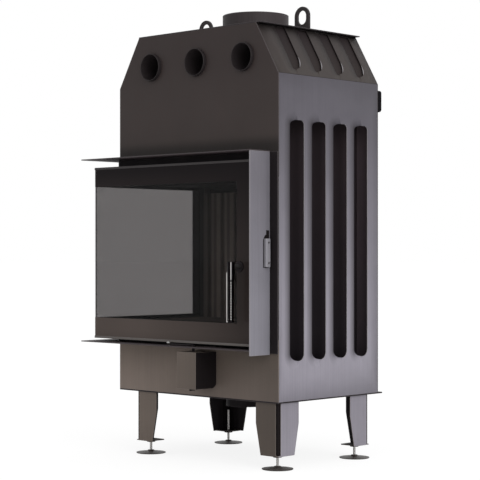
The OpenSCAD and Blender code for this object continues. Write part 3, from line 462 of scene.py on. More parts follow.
# %% [markdown]
# ## Glass-ceramic and its black print
# The panes are 4 mm glass-ceramic. The rim of each pane is printed black on its inner face, so
# the frame behind it doesn't show, and it looks glossy because the glass lies over it. The
# clear part is modelled as real glass that takes light away: in the photograph white seen
# through two panes is a mid grey, so one pane passes about a third. Its index is kept near
# that of a coated pane, which hardly mirrors the white room. Over the print lies a painted
# reflection of the bright floor, a pale haze which fades upwards and to the right.

# %% Finish: clear glass and printed glass
clear_glass, tree = start_finish("glass_ceramic_clear")
close_finish(clear_glass, tree, add(tree, "ShaderNodeBsdfPrincipled", {
    "Base Color": linear("#a19f9f"), "Roughness": 0.0, "IOR": 1.15, "Transmission Weight": 1.0}))


def printed_glass(name, floor_reflection, black, z_low, z_high, x_full, x_weak):
    """Black enamel under glass, with a painted reflection of the floor, a haze that fades between
    two heights in mm.

    From x_full to x_weak, in mm from the casing's middle, the haze also loses more than half
    of its strength.
    """
    material, tree = start_finish(name)
    place = add(tree, "ShaderNodeTexCoord").outputs["Object"]
    split = add(tree, "ShaderNodeSeparateXYZ", {0: place})
    height = add(tree, "ShaderNodeMapRange", {
        "Value": split.outputs["Z"], "From Min": z_low * MM, "From Max": z_high * MM,
        "To Min": 1.0, "To Max": 0.0})
    width = add(tree, "ShaderNodeMapRange", {
        "Value": split.outputs["X"], "From Min": at(x_full, 0, 0).x,
        "From Max": at(x_weak, 0, 0).x, "To Min": 1.0, "To Max": 0.42})
    strength = add(tree, "ShaderNodeMath", {0: height, 1: width}, operation="MULTIPLY")
    haze = add(tree, "ShaderNodeTexNoise", {
        "Vector": place, "Scale": 1 / (2 * CLOUD * MM), "Detail": 2})
    tone = add(tree, "ShaderNodeMapRange", {
        "Value": haze, **USUAL_NOISE, "To Min": 0.92, "To Max": 1.08})
    # The pale colour is a painted reflection of the bright floor.
    colour = add(tree, "ShaderNodeMix", {
        0: strength, 6: linear(black), 7: linear(floor_reflection)}, data_type="RGBA")
    shade = add(tree, "ShaderNodeMix", {
        0: 1.0, 6: colour.outputs[2], 7: tone}, **MULTIPLY)
    shader = add(tree, "ShaderNodeBsdfPrincipled", {
        "Base Color": shade.outputs[2], "Roughness": 0.12, "IOR": 1.15})
    return close_finish(material, tree, shader)


black_print = printed_glass("black_print_on_glass", "#574e4a", "#151012", 370, 840, -150, 230)

# %% [markdown]
# ## Pieces from the drawing
#
# Folded and laser-cut plates have an edge that catches a line of light. A CAD plate has none,
# so a copy of it is merged, its corners are rounded by a Bevel modifier, and the rounded strip
# gets a lighter finish, where the coat is worn thin and as a painted highlight. Turned pieces
# are drawn as a profile and revolved.

# %% Helpers that put a piece in the scene
def stand(name, mesh, finishes, body, nodes=()):
    """Puts a finished mesh in the scene, on its body, in the place of its CAD nodes."""
    piece = bpy.data.objects.new(name, mesh)
    bpy.context.collection.objects.link(piece)
    return seat(piece, finishes, body, nodes)


def seat(piece, finishes, body, nodes):
    """Gives an object its finishes and its body, and hides the CAD nodes that it stands for."""
    piece.data.materials.clear()
    for finish in finishes:
        piece.data.materials.append(finish)
    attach(piece, body)
    if nodes:
        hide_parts(*nodes)
    print(f"{piece.name}: {len(piece.data.polygons)} faces on {body}")
    return piece


def smooth(mesh, angle=35):
    """Smooth shading that keeps every edge sharper than the angle."""
    mesh.polygons.foreach_set("use_smooth", [True] * len(mesh.polygons))
    mesh.set_sharp_from_angle(angle=math.radians(angle))


# %% Helpers that shape a piece
BEVEL_ANGLE = 40


def round_edges(piece, width, finish_index):
    """Rounds each edge that is sharper than BEVEL_ANGLE, with a finish of its own."""
    bevel = piece.modifiers.new("rounded_edges", "BEVEL")
    bevel.width = width * MM
    bevel.segments = 2
    bevel.limit_method = "ANGLE"
    bevel.angle_limit = math.radians(BEVEL_ANGLE)
    bevel.material = finish_index


def thicken(piece, thickness, offset=0):
    """Gives a sheet its thickness in mm: on both sides or, at offset -1, inwards only."""
    wall = piece.modifiers.new("sheet_thickness", "SOLIDIFY")
    wall.thickness = thickness * MM
    wall.offset = offset
    return wall


def finished_mesh(made, name):
    """Turns a bmesh into a mesh of its own."""
    mesh = bpy.data.meshes.new(name)
    made.to_mesh(mesh)
    made.free()
    return mesh


def plate_copy(node):
    """A copy of a CAD node's mesh, merged and with its flat faces joined."""
    made = bmesh.new()
    made.from_mesh(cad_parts[node].data)
    bmesh.ops.remove_doubles(made, verts=made.verts, dist=0.01 * MM)
    bmesh.ops.dissolve_limit(made, angle_limit=math.radians(0.5), verts=made.verts,
                             edges=made.edges)
    return finished_mesh(made, node)


def edged_plate(node, finishes, body, width=0.7):
    """A CAD plate with rounded, slightly worn edges."""
    mesh = plate_copy(node)
    smooth(mesh)
    piece = stand(node + "_edged", mesh, finishes, body, [node])
    round_edges(piece, width, len(finishes) - 1)
    return piece


# %% Helpers for turned pieces
def turned_mesh(name, outline, centre, along, sides, closed=True):
    """Revolves (radius, distance) points in mm about the line that runs along from centre."""
    side = RIGHT if along.z else UP
    other = along.cross(side)
    made = bmesh.new()
    rings = []
    for radius, distance in outline:
        if radius == 0:
            rings.append([made.verts.new(centre + along * distance * MM)] * sides)
            continue
        ring = []
        for i in range(sides):
            turn = math.tau * i / sides
            out = side * math.cos(turn) + other * math.sin(turn)
            ring.append(made.verts.new(centre + (out * radius + along * distance) * MM))
        rings.append(ring)
    for one, two in list(zip(rings, rings[1:])) + ([(rings[-1], rings[0])] if closed else []):
        for i in range(sides):
            j = (i + 1) % sides
            made.faces.new(list(dict.fromkeys((one[i], one[j], two[j], two[i]))))
    bmesh.ops.recalc_face_normals(made, faces=made.faces)
    return finished_mesh(made, name)


def turned(name, outline, centre, finishes, body, nodes=(), along=UP, sides=48,
           closed=False, width=0.5):
    """A turned piece, smooth, with edges rounded by a width in mm."""
    mesh = turned_mesh(name, outline, centre, along, sides, closed)
    smooth(mesh)
    piece = stand(name, mesh, finishes, body, nodes)
    if width:
        round_edges(piece, width, len(finishes) - 1)
    return piece


# %% [markdown]
# ## Louvres and gills
#
# The right side draws in room air through four tall slots, and both slopes let it out through
# four gills. A punch cuts each opening on its rear edge and rolls the front edge inwards, so
# the front of a slot fades into the dark while its rear is a crisp bright cut. The shape
# follows a rule all round the opening, so the sheet is built from rings: each ring point goes
# out along the outline's normal, and only the points that look forwards are pushed in.
#
# The flat rest of the sheet is filled with a constrained triangulation. It fills the openings
# as well, so a triangle whose middle lies within one is left out. Solidify gives the sheet's
# thickness. An attribute called roll tells how far a point has turned out of the light, and
# the finish darkens with it, as the roll does in its own shade.

# %% Outlines of the openings
def arc(centre, radius, first, last, steps):
    """Points and outward normals along an arc, as (depth, height) pairs."""
    turns = [first + (last - first) * i / steps for i in range(steps + 1)]
    ways = [(math.cos(t), math.sin(t)) for t in turns]
    return [((centre[0] + radius * c, centre[1] + radius * s), (c, s)) for c, s in ways]


def run(start, end, normal, steps):
    """Points between two arcs, without the arcs' own end points."""
    return [((start[0] + (end[0] - start[0]) * i / steps,
              start[1] + (end[1] - start[1]) * i / steps), normal) for i in range(1, steps)]


# %% A louvre's outline
LOUVRE_WIDTH, LOUVRE_CORNER = 41, 13


def louvre_outline(centre):
    """A tall slot with a half-round foot and two smaller round corners at its top."""
    r, corner = LOUVRE_WIDTH / 2, LOUVRE_CORNER
    front, rear, shoulder, ankle = centre - r, centre + r, LOUVRE_HIGH - corner, LOUVRE_LOW + r
    return (arc((rear - corner, shoulder), corner, 0, math.pi / 2, 12)
            + run((rear - corner, LOUVRE_HIGH), (front + corner, LOUVRE_HIGH), (0, 1), 3)
            + arc((front + corner, shoulder), corner, math.pi / 2, math.pi, 12)
            + run((front, shoulder), (front, ankle), (-1, 0), 12)
            + arc((centre, ankle), r, math.pi, math.tau, 24)
            + run((rear, ankle), (rear, shoulder), (1, 0), 12))


# %% A gill's outline
GILL_WIDTH, GILL_LOW, GILL_HIGH, GILL_SHIFT = 34, 21, 166, 4
GILL_CORNER, GILL_FOOT = 5, 44


def foot_arc(front):
    """The long quarter-round at a gill's foot, from its lowest point up to its rear edge."""
    wide = GILL_WIDTH - GILL_CORNER
    spots = []
    for i in range(1, 21):
        turn = math.pi / 2 * (i / 20 - 1)
        way = Vector((math.cos(turn) / wide, math.sin(turn) / GILL_FOOT)).normalized()
        spots.append(((front + GILL_CORNER + wide * math.cos(turn),
                       GILL_LOW + GILL_FOOT + GILL_FOOT * math.sin(turn)), (way.x, way.y)))
    return spots


def gill_outline(front):
    """A slot with a straight front edge, a tall quarter-round foot and a flat top."""
    rear, corner, shoulder = front + GILL_WIDTH, GILL_CORNER, GILL_HIGH - GILL_CORNER
    return (arc((rear - corner, shoulder), corner, 0, math.pi / 2, 6)
            + arc((front + corner, shoulder), corner, math.pi / 2, math.pi, 6)
            + run((front, shoulder), (front, GILL_LOW + corner), (-1, 0), 6)
            + arc((front + corner, GILL_LOW + corner), corner, math.pi, 1.5 * math.pi, 6)
            + foot_arc(front)
            + run((rear, GILL_LOW + GILL_FOOT), (rear, shoulder), (1, 0), 6))


# %% Pressed sheets
CUT_REACH = 2.5
ROLL_CORNER = 0.45
ROLL_SHADE, SHADE_CORNER, SHADE_FADE = 0.9, 5, 0.7
RINGS = 9


def within(spot, ring):
    """Whether a point lies inside a closed ring of points, by counting crossings."""
    crossings = 0
    for (y0, z0), (y1, z1) in zip(ring, ring[1:] + ring[:1]):
        if (z0 > spot[1]) != (z1 > spot[1]):
            crossings += spot[0] < y0 + (y1 - y0) * (spot[1] - z0) / (z1 - z0)
    return crossings % 2 == 1


def press_opening(made, lay, outline, press, z_low, z_high):
    """Rolls the sheet in round one opening and returns the outer ring, flat and in place.

    press is the reach and the depth, in mm, of the roll at the opening's front edge. The
    points that look forwards take the full roll, and ROLL_CORNER says how far round the
    corners it is kept.
    """
    lip_reach, lip_depth = press
    lip_radius = (lip_reach ** 2 + lip_depth ** 2) / (2 * lip_depth)
    roll = made.verts.layers.float["roll"]
    rings = []
    for k in range(RINGS + 1):
        near = 1 - k / RINGS
        fall = lip_radius - math.sqrt(lip_radius ** 2 - (lip_reach * near) ** 2)
        ring, flat = [], []
        for (y, z), (ny, nz) in outline:
            front = max(0.0, -ny) ** ROLL_CORNER
            out = (CUT_REACH + (lip_reach - CUT_REACH) * front) * k / RINGS
            flat.append((y + ny * out, max(z_low + 1, min(z + nz * out, z_high - 1))))
            point = made.verts.new(lay(*flat[-1], fall * front))
            # roll holds the painted shade of the rolled lip.
            point[roll] = max(0, -ny) ** SHADE_CORNER * min(1, ROLL_SHADE * near ** SHADE_FADE)
            ring.append(point)
        rings.append(ring)
    for one, two in zip(rings, rings[1:]):
        for i in range(len(one)):
            j = (i + 1) % len(one)
            made.faces.new((one[i], one[j], two[j], two[i]))
    return flat, ring


def fill_flat(made, flat, points, loops):
    """Fills the flat sheet between its border, which is the first loop, and its openings."""
    borders = [(loop[i], loop[(i + 1) % len(loop)]) for loop in loops for i in range(len(loop))]
    filled = geometry.delaunay_2d_cdt([Vector(p) for p in flat], borders, [], 2, 1e-6)
    openings = [[flat[i] for i in loop] for loop in loops[1:]]
    for face in filled[2]:
        ends = [filled[3][i][0] for i in face]
        middle = [sum(flat[i][k] for i in ends) / 3 for k in (0, 1)]
        if not any(within(middle, ring) for ring in openings):
            made.faces.new([points[i] for i in ends])


def pressed_sheet(name, lay, edges, outlines, press, finishes, nodes, outward):
    """A sheet with rolled openings; lay(depth, height, inwards) places a point of it."""
    y_low, y_high, z_low, z_high = edges
    made = bmesh.new()
    made.verts.layers.float.new("roll")
    flat = [(y_low, z_low), (y_high, z_low), (y_high, z_high), (y_low, z_high)]
    points = [made.verts.new(lay(y, z, 0)) for y, z in flat]
    loops = [list(range(4))]
    for outline in outlines:
        ring_flat, ring = press_opening(made, lay, outline, press, z_low, z_high)
        loops.append(list(range(len(points), len(points) + len(ring))))
        flat += ring_flat
        points += ring
    fill_flat(made, flat, points, loops)
    bmesh.ops.recalc_face_normals(made, faces=made.faces)
    total = sum((face.normal * face.calc_area() for face in made.faces), Vector())
    if total.dot(outward) < 0:
        bmesh.ops.reverse_faces(made, faces=made.faces)
    mesh = finished_mesh(made, name)
    smooth(mesh, 50)
    piece = stand(name, mesh, finishes, "casing", nodes)
    thicken(piece, SHEET, -1).material_offset_rim = 1


# %% The right side with its louvres
PITCH, FIRST = 93, 87
LOUVRE_PRESS = (43, 17)
louvre_places = [FIRST + PITCH * i for i in range(4)]
pressed_sheet(
    "right_louvred_side", lambda y, z, inwards: at(HALF_WIDTH - inwards, y, z),
    (SHEET, REAR - SHEET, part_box("right_side_panel")[0].z / MM, FOLD),
    [louvre_outline(y) for y in louvre_places], LOUVRE_PRESS, [side_steel, cut_edge_and_sheen_steel],
    ["right_side_panel"], RIGHT)

# %% The slopes with their gills
SLOPE_INSET = 85
SLOPE_RISE = TOP - SHEET - FOLD
SLOPE = math.hypot(SLOPE_INSET, SLOPE_RISE)
GILL_PRESS = (36, 6)


def slope_point(side, y, up, inwards):
    """A point on a slope: up is measured along it from the fold."""
    x = HALF_WIDTH - (SLOPE_INSET * up + SLOPE_RISE * inwards) / SLOPE
    z = FOLD + (SLOPE_RISE * up - SLOPE_INSET * inwards) / SLOPE
    return at(side * x, y, z)


for word, side in (("right", 1), ("left", -1)):
    pressed_sheet(
        f"{word}_slope_with_gills", lambda y, z, i, side=side: slope_point(side, y, z, i),
        (SHEET, REAR - SHEET, 1, SLOPE - 2),
        [gill_outline(y - GILL_SHIFT) for y in louvre_places], GILL_PRESS,
        [slope_steel, slope_shield_steel], [f"{word}_chamfer_panel"],
        RIGHT * side + UP)

# %% [markdown]
# ## Inner shields
#
# A convection casing is double-walled: a thin dark sheet hangs behind the louvres and the
# gills, so that nobody sees through the casing. It is what one sees in each opening, and it
# keeps the warm-air collars dark inside.

# %% Shields behind the louvres and the gills
SHIELD_DEPTH, SHIELD_END, SHIELD_GAP = 5.5, 12, 4
SHIELD_LOW, SHIELD_HIGH = CASING_BOTTOM + 10, FOLD - 6
shield_x = (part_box("firebox_right_wall")[1].x - MIDDLE) / MM + SHIELD_GAP


def thin_sheet(name, one_end, other_end, finish, thickness=1):
    """A sheet between two lines of as many points."""
    count = len(one_end)
    mesh = bpy.data.meshes.new(name)
    mesh.from_pydata(one_end + other_end, [], [(i, i + 1, count + i + 1, count + i)
                                               for i in range(count - 1)])
    thicken(stand(name, mesh, [finish], "casing"), thickness)


def shield(name, line, finish):
    """A thin sheet that follows a line of (x, height) points from front to rear."""
    thin_sheet(name, [at(x, SHIELD_END, z) for x, z in line],
               [at(x, REAR - SHIELD_END, z) for x, z in line], finish)


def slope_line(side):
    """The shield's line behind a slope, from the fold up to the top plate."""
    lower, upper = (slope_point(side, 0, up, SHIELD_DEPTH) for up in (9, SLOPE - 1))
    line = [((p.x - MIDDLE) / MM, p.z / MM) for p in (lower, upper)]
    return line + [(line[1][0], TOP - SHEET - 1)]


shield("side_shield", [(shield_x, SHIELD_LOW), (shield_x, SHIELD_HIGH)], shield_steel)
thin_sheet("rear_shield", *[[at(x, REAR - SHIELD_END, z) for z in (SHIELD_LOW, SHIELD_HIGH)]
                            for x in (shield_x, HALF_WIDTH - SHIELD_GAP)], rear_shield_steel)
shield("right_slope_shield", [(shield_x, FOLD - 4)] + slope_line(1), slope_shield_steel)
shield("left_slope_shield", slope_line(-1), inner_black)

# %% [markdown]
# ## Sheets, ledges and plates
#
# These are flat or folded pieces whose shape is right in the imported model. Each gets its edges
# and its finish. The edge line is narrow, under a millimetre, and it shows as the thin light
# line that outlines the ledges, the door and the top in the photograph.

# %% Casing plates
EDGED = {
    "upper_front_panel": (upper_front_steel, worn_edge_and_sheen_black, "casing_black"),
    "lower_front_panel": (lower_front_steel, worn_edge_and_sheen_brown, "casing_brown"),
    "left_side_panel": (left_steel, worn_edge_and_sheen_brown, "casing_brown"),
    "rear_panel": (stove_black, worn_edge_and_sheen_black, "casing_black"),
    "base_plate": (stove_black, worn_edge_and_sheen_black, "casing_black"),
    "top_ledge": (ledge_black, worn_edge_and_sheen_black, "casing_black"),
    "bottom_ledge": (ledge_black, worn_edge_and_sheen_black, "casing_black"),
    "cheek_plate": (cheek_steel, cut_edge_and_sheen_steel, "casing_grey"),
    "front_frame": (stove_black, worn_edge_and_sheen_black, "casing_black"),
    "lifting_eye_left": (collar_steel, worn_edge_and_sheen_black, "casing_black"),
    "lifting_eye_right": (collar_steel, worn_edge_and_sheen_black, "casing_black"),
    "rear_block": (block_black, inner_black, "casing_black"),
    "latch_keeper": (keeper_steel, cut_edge_and_sheen_steel, "casing_grey"),
}
for node, (finish, edge, slot) in EDGED.items():
    edged_plate(node, [finish, edge], "casing")

# In the photograph the top plate overhangs the right slope only, so its left end is drawn in.
top_plate = edged_plate("top_plate", [stove_black, worn_edge_and_sheen_black], "casing")
left_end = at(SLOPE_INSET - HALF_WIDTH, 0, 0).x
for vert in top_plate.data.vertices:
    vert.co.x = max(vert.co.x, left_end)

edged_plate("door_frame", [stove_black, worn_edge_and_sheen_black], "door")
edged_plate("air_lever", [stove_black, worn_edge_and_sheen_black], "air_lever", 0.4)

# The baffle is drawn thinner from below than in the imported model, which leaves the top of the
# side window free.
BAFFLE_THINNED = 14
baffle = edged_plate("baffle", [inner_black], "casing")
baffle_middle = (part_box("baffle")[0].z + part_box("baffle")[1].z) / 2
for vert in baffle.data.vertices:
    if vert.co.z < baffle_middle:
        vert.co.z += BAFFLE_THINNED * MM

# The air box is brown in front and black on its right side.
air_box = edged_plate("air_box", [leg_front_steel, inner_black, worn_edge_and_sheen_brown], "casing")
for face in air_box.data.polygons:
    face.material_index = int(face.normal.x > 0.3)

# %% [markdown]
# ## Legs
#
# A leg is two plates that leave their corner open, over a foot plate with a nut. The plate
# that looks forwards takes the brown and the one that looks sideways the grey of the casing's
# painted light and shade, so each face takes its finish from the way that it looks. A thin
# dark strip stands behind the open corner as painted shade, where the corner looks black.

# %% Legs
LEG_WALL = 3
CORNER_STRIP, STRIP_GAP, STRIP_FOOT = 24, 0.3, 7


def leg_plan(node):
    """A leg's outer corner, seen from above, and the way inwards from it on both axes."""
    low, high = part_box(node)
    right, rear = "right" in node, "rear" in node
    corner = Vector((high.x if right else low.x, high.y if rear else low.y, 0))
    return corner, Vector((-1 if right else 1, -1 if rear else 1, 0))


for node in ("leg_front_right", "leg_front_left", "leg_rear_right", "leg_rear_left"):
    mesh = plate_copy(node)
    smooth(mesh)
    corner, inward = leg_plan(node)
    # Of the rear right leg, the photograph shows only the grey side.
    slot = "casing_grey" if node == "leg_rear_right" else "casing_brown"
    piece = stand(node + "_edged", mesh,
                  [leg_front_steel, leg_side_steel, stove_black, worn_edge_and_sheen_brown], "casing",
                  [node])
    # Lit and shaded copies by the way a face looks: painted light and shade.
    for face in mesh.polygons:
        ahead, aside = face.normal.y * inward.y, face.normal.x * inward.x
        outer_front = ahead < -0.7 and abs(face.center.y - corner.y) < MM
        outer_side = aside < -0.7 and abs(face.center.x - corner.x) < MM
        face.material_index = 0 if outer_front else 1 if outer_side else 2
    round_edges(piece, 0.6, 3)
    # A dark strip behind the open corner is painted shade.
    corner += inward * (LEG_WALL + STRIP_GAP) * MM
    line = [corner + inward * way * CORNER_STRIP * MM for way in (RIGHT, Vector(), BACK)]
    low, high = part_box(node)
    thin_sheet(node + "_corner_shade", [spot + UP * (low.z + STRIP_FOOT * MM) for spot in line],
               [spot + UP * high.z for spot in line], inner_black, 0.5)

# %% [markdown]
# ## Turned pieces
#
# The flue collar, the outside-air socket, the handle's hub, spindle, grip core and rosette,
# the knob, the hinge pins, the feet and the screw under the air box are all round, so each is
# an outline turned about its axis.

# %% Flue collar and air socket
FLUE_RADIUS, FLUE_WALL = 99, 3
FLUE_FLANGE, FLANGE_TALL = FLUE_RADIUS + 20, 5
roof, mouth = (corner.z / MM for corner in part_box("flue_collar"))
turned("flue_collar_rolled",
       [(FLUE_RADIUS - FLUE_WALL, mouth), (FLUE_RADIUS, mouth),
        (FLUE_RADIUS, roof + FLANGE_TALL), (FLUE_FLANGE, roof + FLANGE_TALL),
        (FLUE_FLANGE, roof), (FLUE_RADIUS - FLUE_WALL, roof)],
       plan_centre("flue_collar"), [flue_steel, worn_edge_and_sheen_black], "casing",
       ["flue_collar"], sides=96, closed=True, width=0.9)

SOCKET_IN, SOCKET_OUT, SOCKET_FLANGE = 60.5, 62.5, 72.5
socket_low, socket_high = (corner.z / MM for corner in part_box("air_intake_spigot"))
turned("air_socket_rolled",
       [(SOCKET_IN, socket_low), (SOCKET_OUT, socket_low), (SOCKET_OUT, CASING_BOTTOM - 2),
        (SOCKET_FLANGE, CASING_BOTTOM - 2), (SOCKET_FLANGE, CASING_BOTTOM),
        (SOCKET_OUT, CASING_BOTTOM), (SOCKET_OUT, socket_high), (SOCKET_IN, socket_high)],
       at(0, REAR / 2, 0), [stove_black, worn_edge_and_sheen_black], "casing",
       ["air_intake_spigot"], sides=64, closed=True, width=0.4)

# %% [markdown]
# ## Geometry trees
#
# What repeats is grown by Geometry Nodes: the three warm-air collars, the burrs of the gills,
# the wound grip, the thread on the feet, the braid of the gasket, the weld beads and the
# cover's screws. Each tree is built in the script with named inputs. It runs once on a holder
# object, and its result is kept as a plain mesh, so nothing depends on the tree afterwards.

# %% Tree helpers
def start_tree(name, **inputs):
    """A geometry tree with inputs for its start mesh, its finish and the named sizes."""
    tree = bpy.data.node_groups.new(name, "GeometryNodeTree")
    for label, kind in {"Geometry": "Geometry", "Finish": "Material", **inputs}.items():
        tree.interface.new_socket(label, in_out="INPUT", socket_type="NodeSocket" + kind)
    tree.interface.new_socket("Geometry", in_out="OUTPUT", socket_type="NodeSocketGeometry")
    return tree, add(tree, "NodeGroupInput").outputs


def end_tree(tree, sizes, grown):
    """Every tree ends the same way: real geometry, smooth, with its finish."""
    real = add(tree, "GeometryNodeRealizeInstances", {0: grown})
    soft = add(tree, "GeometryNodeSetShadeSmooth", {"Geometry": real})
    done = add(tree, "GeometryNodeSetMaterial", {"Geometry": soft, "Material": sizes["Finish"]})
    add(tree, "NodeGroupOutput", {0: done})


def spaced_points(tree, sizes):
    """Points at even steps along the start mesh's edges."""
    path = add(tree, "GeometryNodeMeshToCurve", {0: sizes["Geometry"]})
    return add(tree, "GeometryNodeResampleCurve", {"Curve": path, "Length": sizes["Spacing"]},
               mode="LENGTH")


def grow(name, tree, sizes, finish, body, nodes=(), start=None, sharp=None):
    """Runs a tree on a start mesh and seats the result on its body as a plain mesh.

    Edges sharper than sharp, in degrees, stay sharp.
    """
    holder = bpy.data.objects.new(name, start or bpy.data.meshes.new(name))
    bpy.context.collection.objects.link(holder)
    modifier = holder.modifiers.new("grow", "NODES")
    modifier.node_group = tree
    sockets = {item.name: item.identifier for item in tree.interface.items_tree
               if item.in_out == "INPUT"}
    for label, value in {**sizes, "Finish": finish}.items():
        modifier[sockets[label]] = value
    view = bpy.context.evaluated_depsgraph_get()
    mesh = bpy.data.meshes.new_from_object(holder.evaluated_get(view))
    holder.modifiers.clear()
    holder.data = mesh
    mesh.name = name
    if sharp:
        mesh.set_sharp_from_angle(angle=math.radians(sharp))
    seat(holder, [finish], body, nodes)


# %% [markdown]
# ## Warm-air collars
#
# Each collar is a tube through the front sheet, with a flange behind it. One is turned as a
# mesh with a rolled rim, and the tree sets it out three times along a line at the real pitch.
# The tube reaches well back into the casing, so that its inside looks dark.

# %% The tree that sets pieces in a row
row_tree, row_in = start_tree("row_of_pieces", Count="Int", First="Vector", Step="Vector")
line = add(row_tree, "GeometryNodeMeshLine", {
    "Count": row_in["Count"], "Start Location": row_in["First"], "Offset": row_in["Step"]},
    mode="OFFSET")
placed = add(row_tree, "GeometryNodeInstanceOnPoints", {
    "Points": line, "Instance": row_in["Geometry"]})
end_tree(row_tree, row_in, placed)

# %% The collars
COLLAR_RADIUS, COLLAR_WALL, COLLAR_PITCH, COLLAR_HEIGHT = 40, 2, 187.5, 1149
COLLAR_REACH, COLLAR_TAIL = 10, 72
inner, bead, flange = COLLAR_RADIUS - COLLAR_WALL, COLLAR_WALL / 2, COLLAR_RADIUS + 10
rim = [(inner + bead + bead * math.cos(math.pi * i / 8),
        COLLAR_REACH - bead + bead * math.sin(math.pi * i / 8)) for i in range(9)]
collar = turned_mesh(
    "collar",
    rim + [(inner, -COLLAR_TAIL), (COLLAR_RADIUS, -COLLAR_TAIL),
           (COLLAR_RADIUS, -SHEET - COLLAR_WALL), (flange, -SHEET - COLLAR_WALL),
           (flange, -SHEET), (COLLAR_RADIUS, -SHEET)],
    Vector(), -BACK, 64)
collar_nodes = [f"hot_air_collar_{word}" for word in ("left", "middle", "right")]
grow("warm_air_collars", row_tree, {
    "Count": 3, "First": (plan_centre(collar_nodes[0]).x, FRONT, COLLAR_HEIGHT * MM),
    "Step": (COLLAR_PITCH * MM, 0, 0)},
    collar_steel, "casing", collar_nodes, start=collar, sharp=40)

# %% [markdown]
# ## Gill feet
#
# The punch leaves a bare raised burr along the round foot of each gill, thickest in its
# middle. It catches the light as a thin crescent. One burr is swept as a tube that tapers to
# both ends, and the same tree sets out the four of a slope.

# %% Burrs on the gills' feet
BURR, BURR_SIDES = 1.5, 6
for word, side in (("right", 1), ("left", -1)):
    points, faces = [], []
    spots = foot_arc(FIRST - GILL_SHIFT)[6:]
    for k, (spot, way) in enumerate(spots):
        thick = BURR * math.sin(math.pi * k / (len(spots) - 1))
        for i in range(BURR_SIDES):
            turn = math.tau * i / BURR_SIDES
            out, up = thick * math.cos(turn), thick * math.sin(turn)
            points.append(slope_point(side, spot[0] + way[0] * out, spot[1] + way[1] * out, up))
        here, before = k * BURR_SIDES, (k - 1) * BURR_SIDES
        faces += [(before + i, before + (i + 1) % BURR_SIDES, here + (i + 1) % BURR_SIDES,
                   here + i) for i in range(BURR_SIDES) if k]
    burr = bpy.data.meshes.new("burr")
    burr.from_pydata(points, [], faces)
    grow(f"{word}_gill_burrs", row_tree, {
        "Count": 4, "First": (0, 0, 0), "Step": (0, PITCH * MM, 0)},
        cut_edge_and_sheen_steel, "casing", start=burr)

# %% [markdown]
# ## The wound grip
#
# A stove's handle stays cool because its grip is a spring of wire that hardly touches the
# core. The Curve Spiral node gives the wire's line, and a small circle is swept along it. The
# same tree, with other sizes, winds the thread on the rods of the feet.

# %% Coil and thread
coil_tree, coil_in = start_tree(
    "wound_wire", Turns="Float", Radius="Float", Height="Float", Wire="Float", Sides="Int",
    Steps="Int", Place="Vector")
spiral = add(coil_tree, "GeometryNodeCurveSpiral", {
    "Resolution": coil_in["Steps"], "Rotations": coil_in["Turns"],
    "Start Radius": coil_in["Radius"], "End Radius": coil_in["Radius"],
    "Height": coil_in["Height"]})
section = add(coil_tree, "GeometryNodeCurvePrimitiveCircle", {
    "Resolution": coil_in["Sides"], "Radius": coil_in["Wire"]})
wire = add(coil_tree, "GeometryNodeCurveToMesh", {
    "Curve": spiral, "Profile Curve": section, "Fill Caps": True})
moved = add(coil_tree, "GeometryNodeTransform", {
    "Geometry": wire, "Translation": coil_in["Place"]})
end_tree(coil_tree, coil_in, moved)

# %% The handle's measures and finishes
WIRE, CORE, CAP_HEIGHT, COIL_TURNS = 1.8, 5.5, 6, 24.0
HUB_RADIUS, PLAY = 10.5, 0.3
# The normal of the upright plane in which the painted highlight lies.
HIGHLIGHT_WAY = (0.717, 0.697, 0)
hub_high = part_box("handle_hub")[1]
grip_low, grip_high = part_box("handle_grip")
GRIP_FOOT, HUB_FOOT, HUB_TOP = grip_low.z / MM, grip_high.z / MM, hub_high.z / MM
grip_axis = Vector((plan_centre("handle_hub").x, plan_centre("handle_grip").y, 0))
# The bright colours are the painted highlight.
hub_chrome = chrome_with_painted_line("hub_chrome", "#151214", "#efedeb", grip_axis, HIGHLIGHT_WAY, 1.6,
                          HUB_RADIUS - 2)
coil_chrome = chrome_with_painted_line("coil_chrome", "#151214", "#dddbd9", grip_axis, HIGHLIGHT_WAY, 2.6,
                           CORE + 2 * WIRE + PLAY / 2)
core_chrome = chrome_with_painted_line("core_chrome", "#151214", "#2b2729", grip_axis, HIGHLIGHT_WAY, 3, CORE)

# %% The wound wire
coil_foot = GRIP_FOOT + CAP_HEIGHT + WIRE
grow("wound_grip", coil_tree, {
    "Turns": COIL_TURNS, "Radius": (CORE + WIRE + PLAY) * MM,
    "Height": (HUB_FOOT - coil_foot - WIRE) * MM, "Wire": WIRE * MM, "Sides": 10, "Steps": 28,
    "Place": grip_axis + UP * coil_foot * MM}, coil_chrome, "handle", ["handle_coil"])

# %% Hub, spindle, core, bar and rosette
SPINDLE, SPINDLE_HEIGHT, ROSETTE, ROSETTE_TALL = 6, 562, 15, 4
turned("handle_hub_turned",
       [(0, HUB_FOOT), (HUB_RADIUS, HUB_FOOT), (HUB_RADIUS, HUB_TOP), (0, HUB_TOP)],
       grip_axis, [hub_chrome], "handle", ["handle_hub"], width=1.4)
spindle_end = (hub_high.y - grip_axis.y) / MM
spindle_foot = grip_axis + UP * SPINDLE_HEIGHT * MM
turned("handle_spindle_turned",
       [(0, 0), (SPINDLE, 0), (SPINDLE, spindle_end), (0, spindle_end)],
       spindle_foot, [zinc_plate], "handle", along=BACK, sides=32)
turned("grip_core_turned",
       [(0, GRIP_FOOT), (CORE + 2 * WIRE, GRIP_FOOT),
        (CORE + 2 * WIRE, GRIP_FOOT + CAP_HEIGHT), (CORE, GRIP_FOOT + CAP_HEIGHT),
        (CORE, HUB_FOOT), (0, HUB_FOOT)],
       grip_axis, [core_chrome], "handle", ["handle_grip"], width=0.8)
edged_plate("handle_bar", [polished_steel], "handle", 0.5)
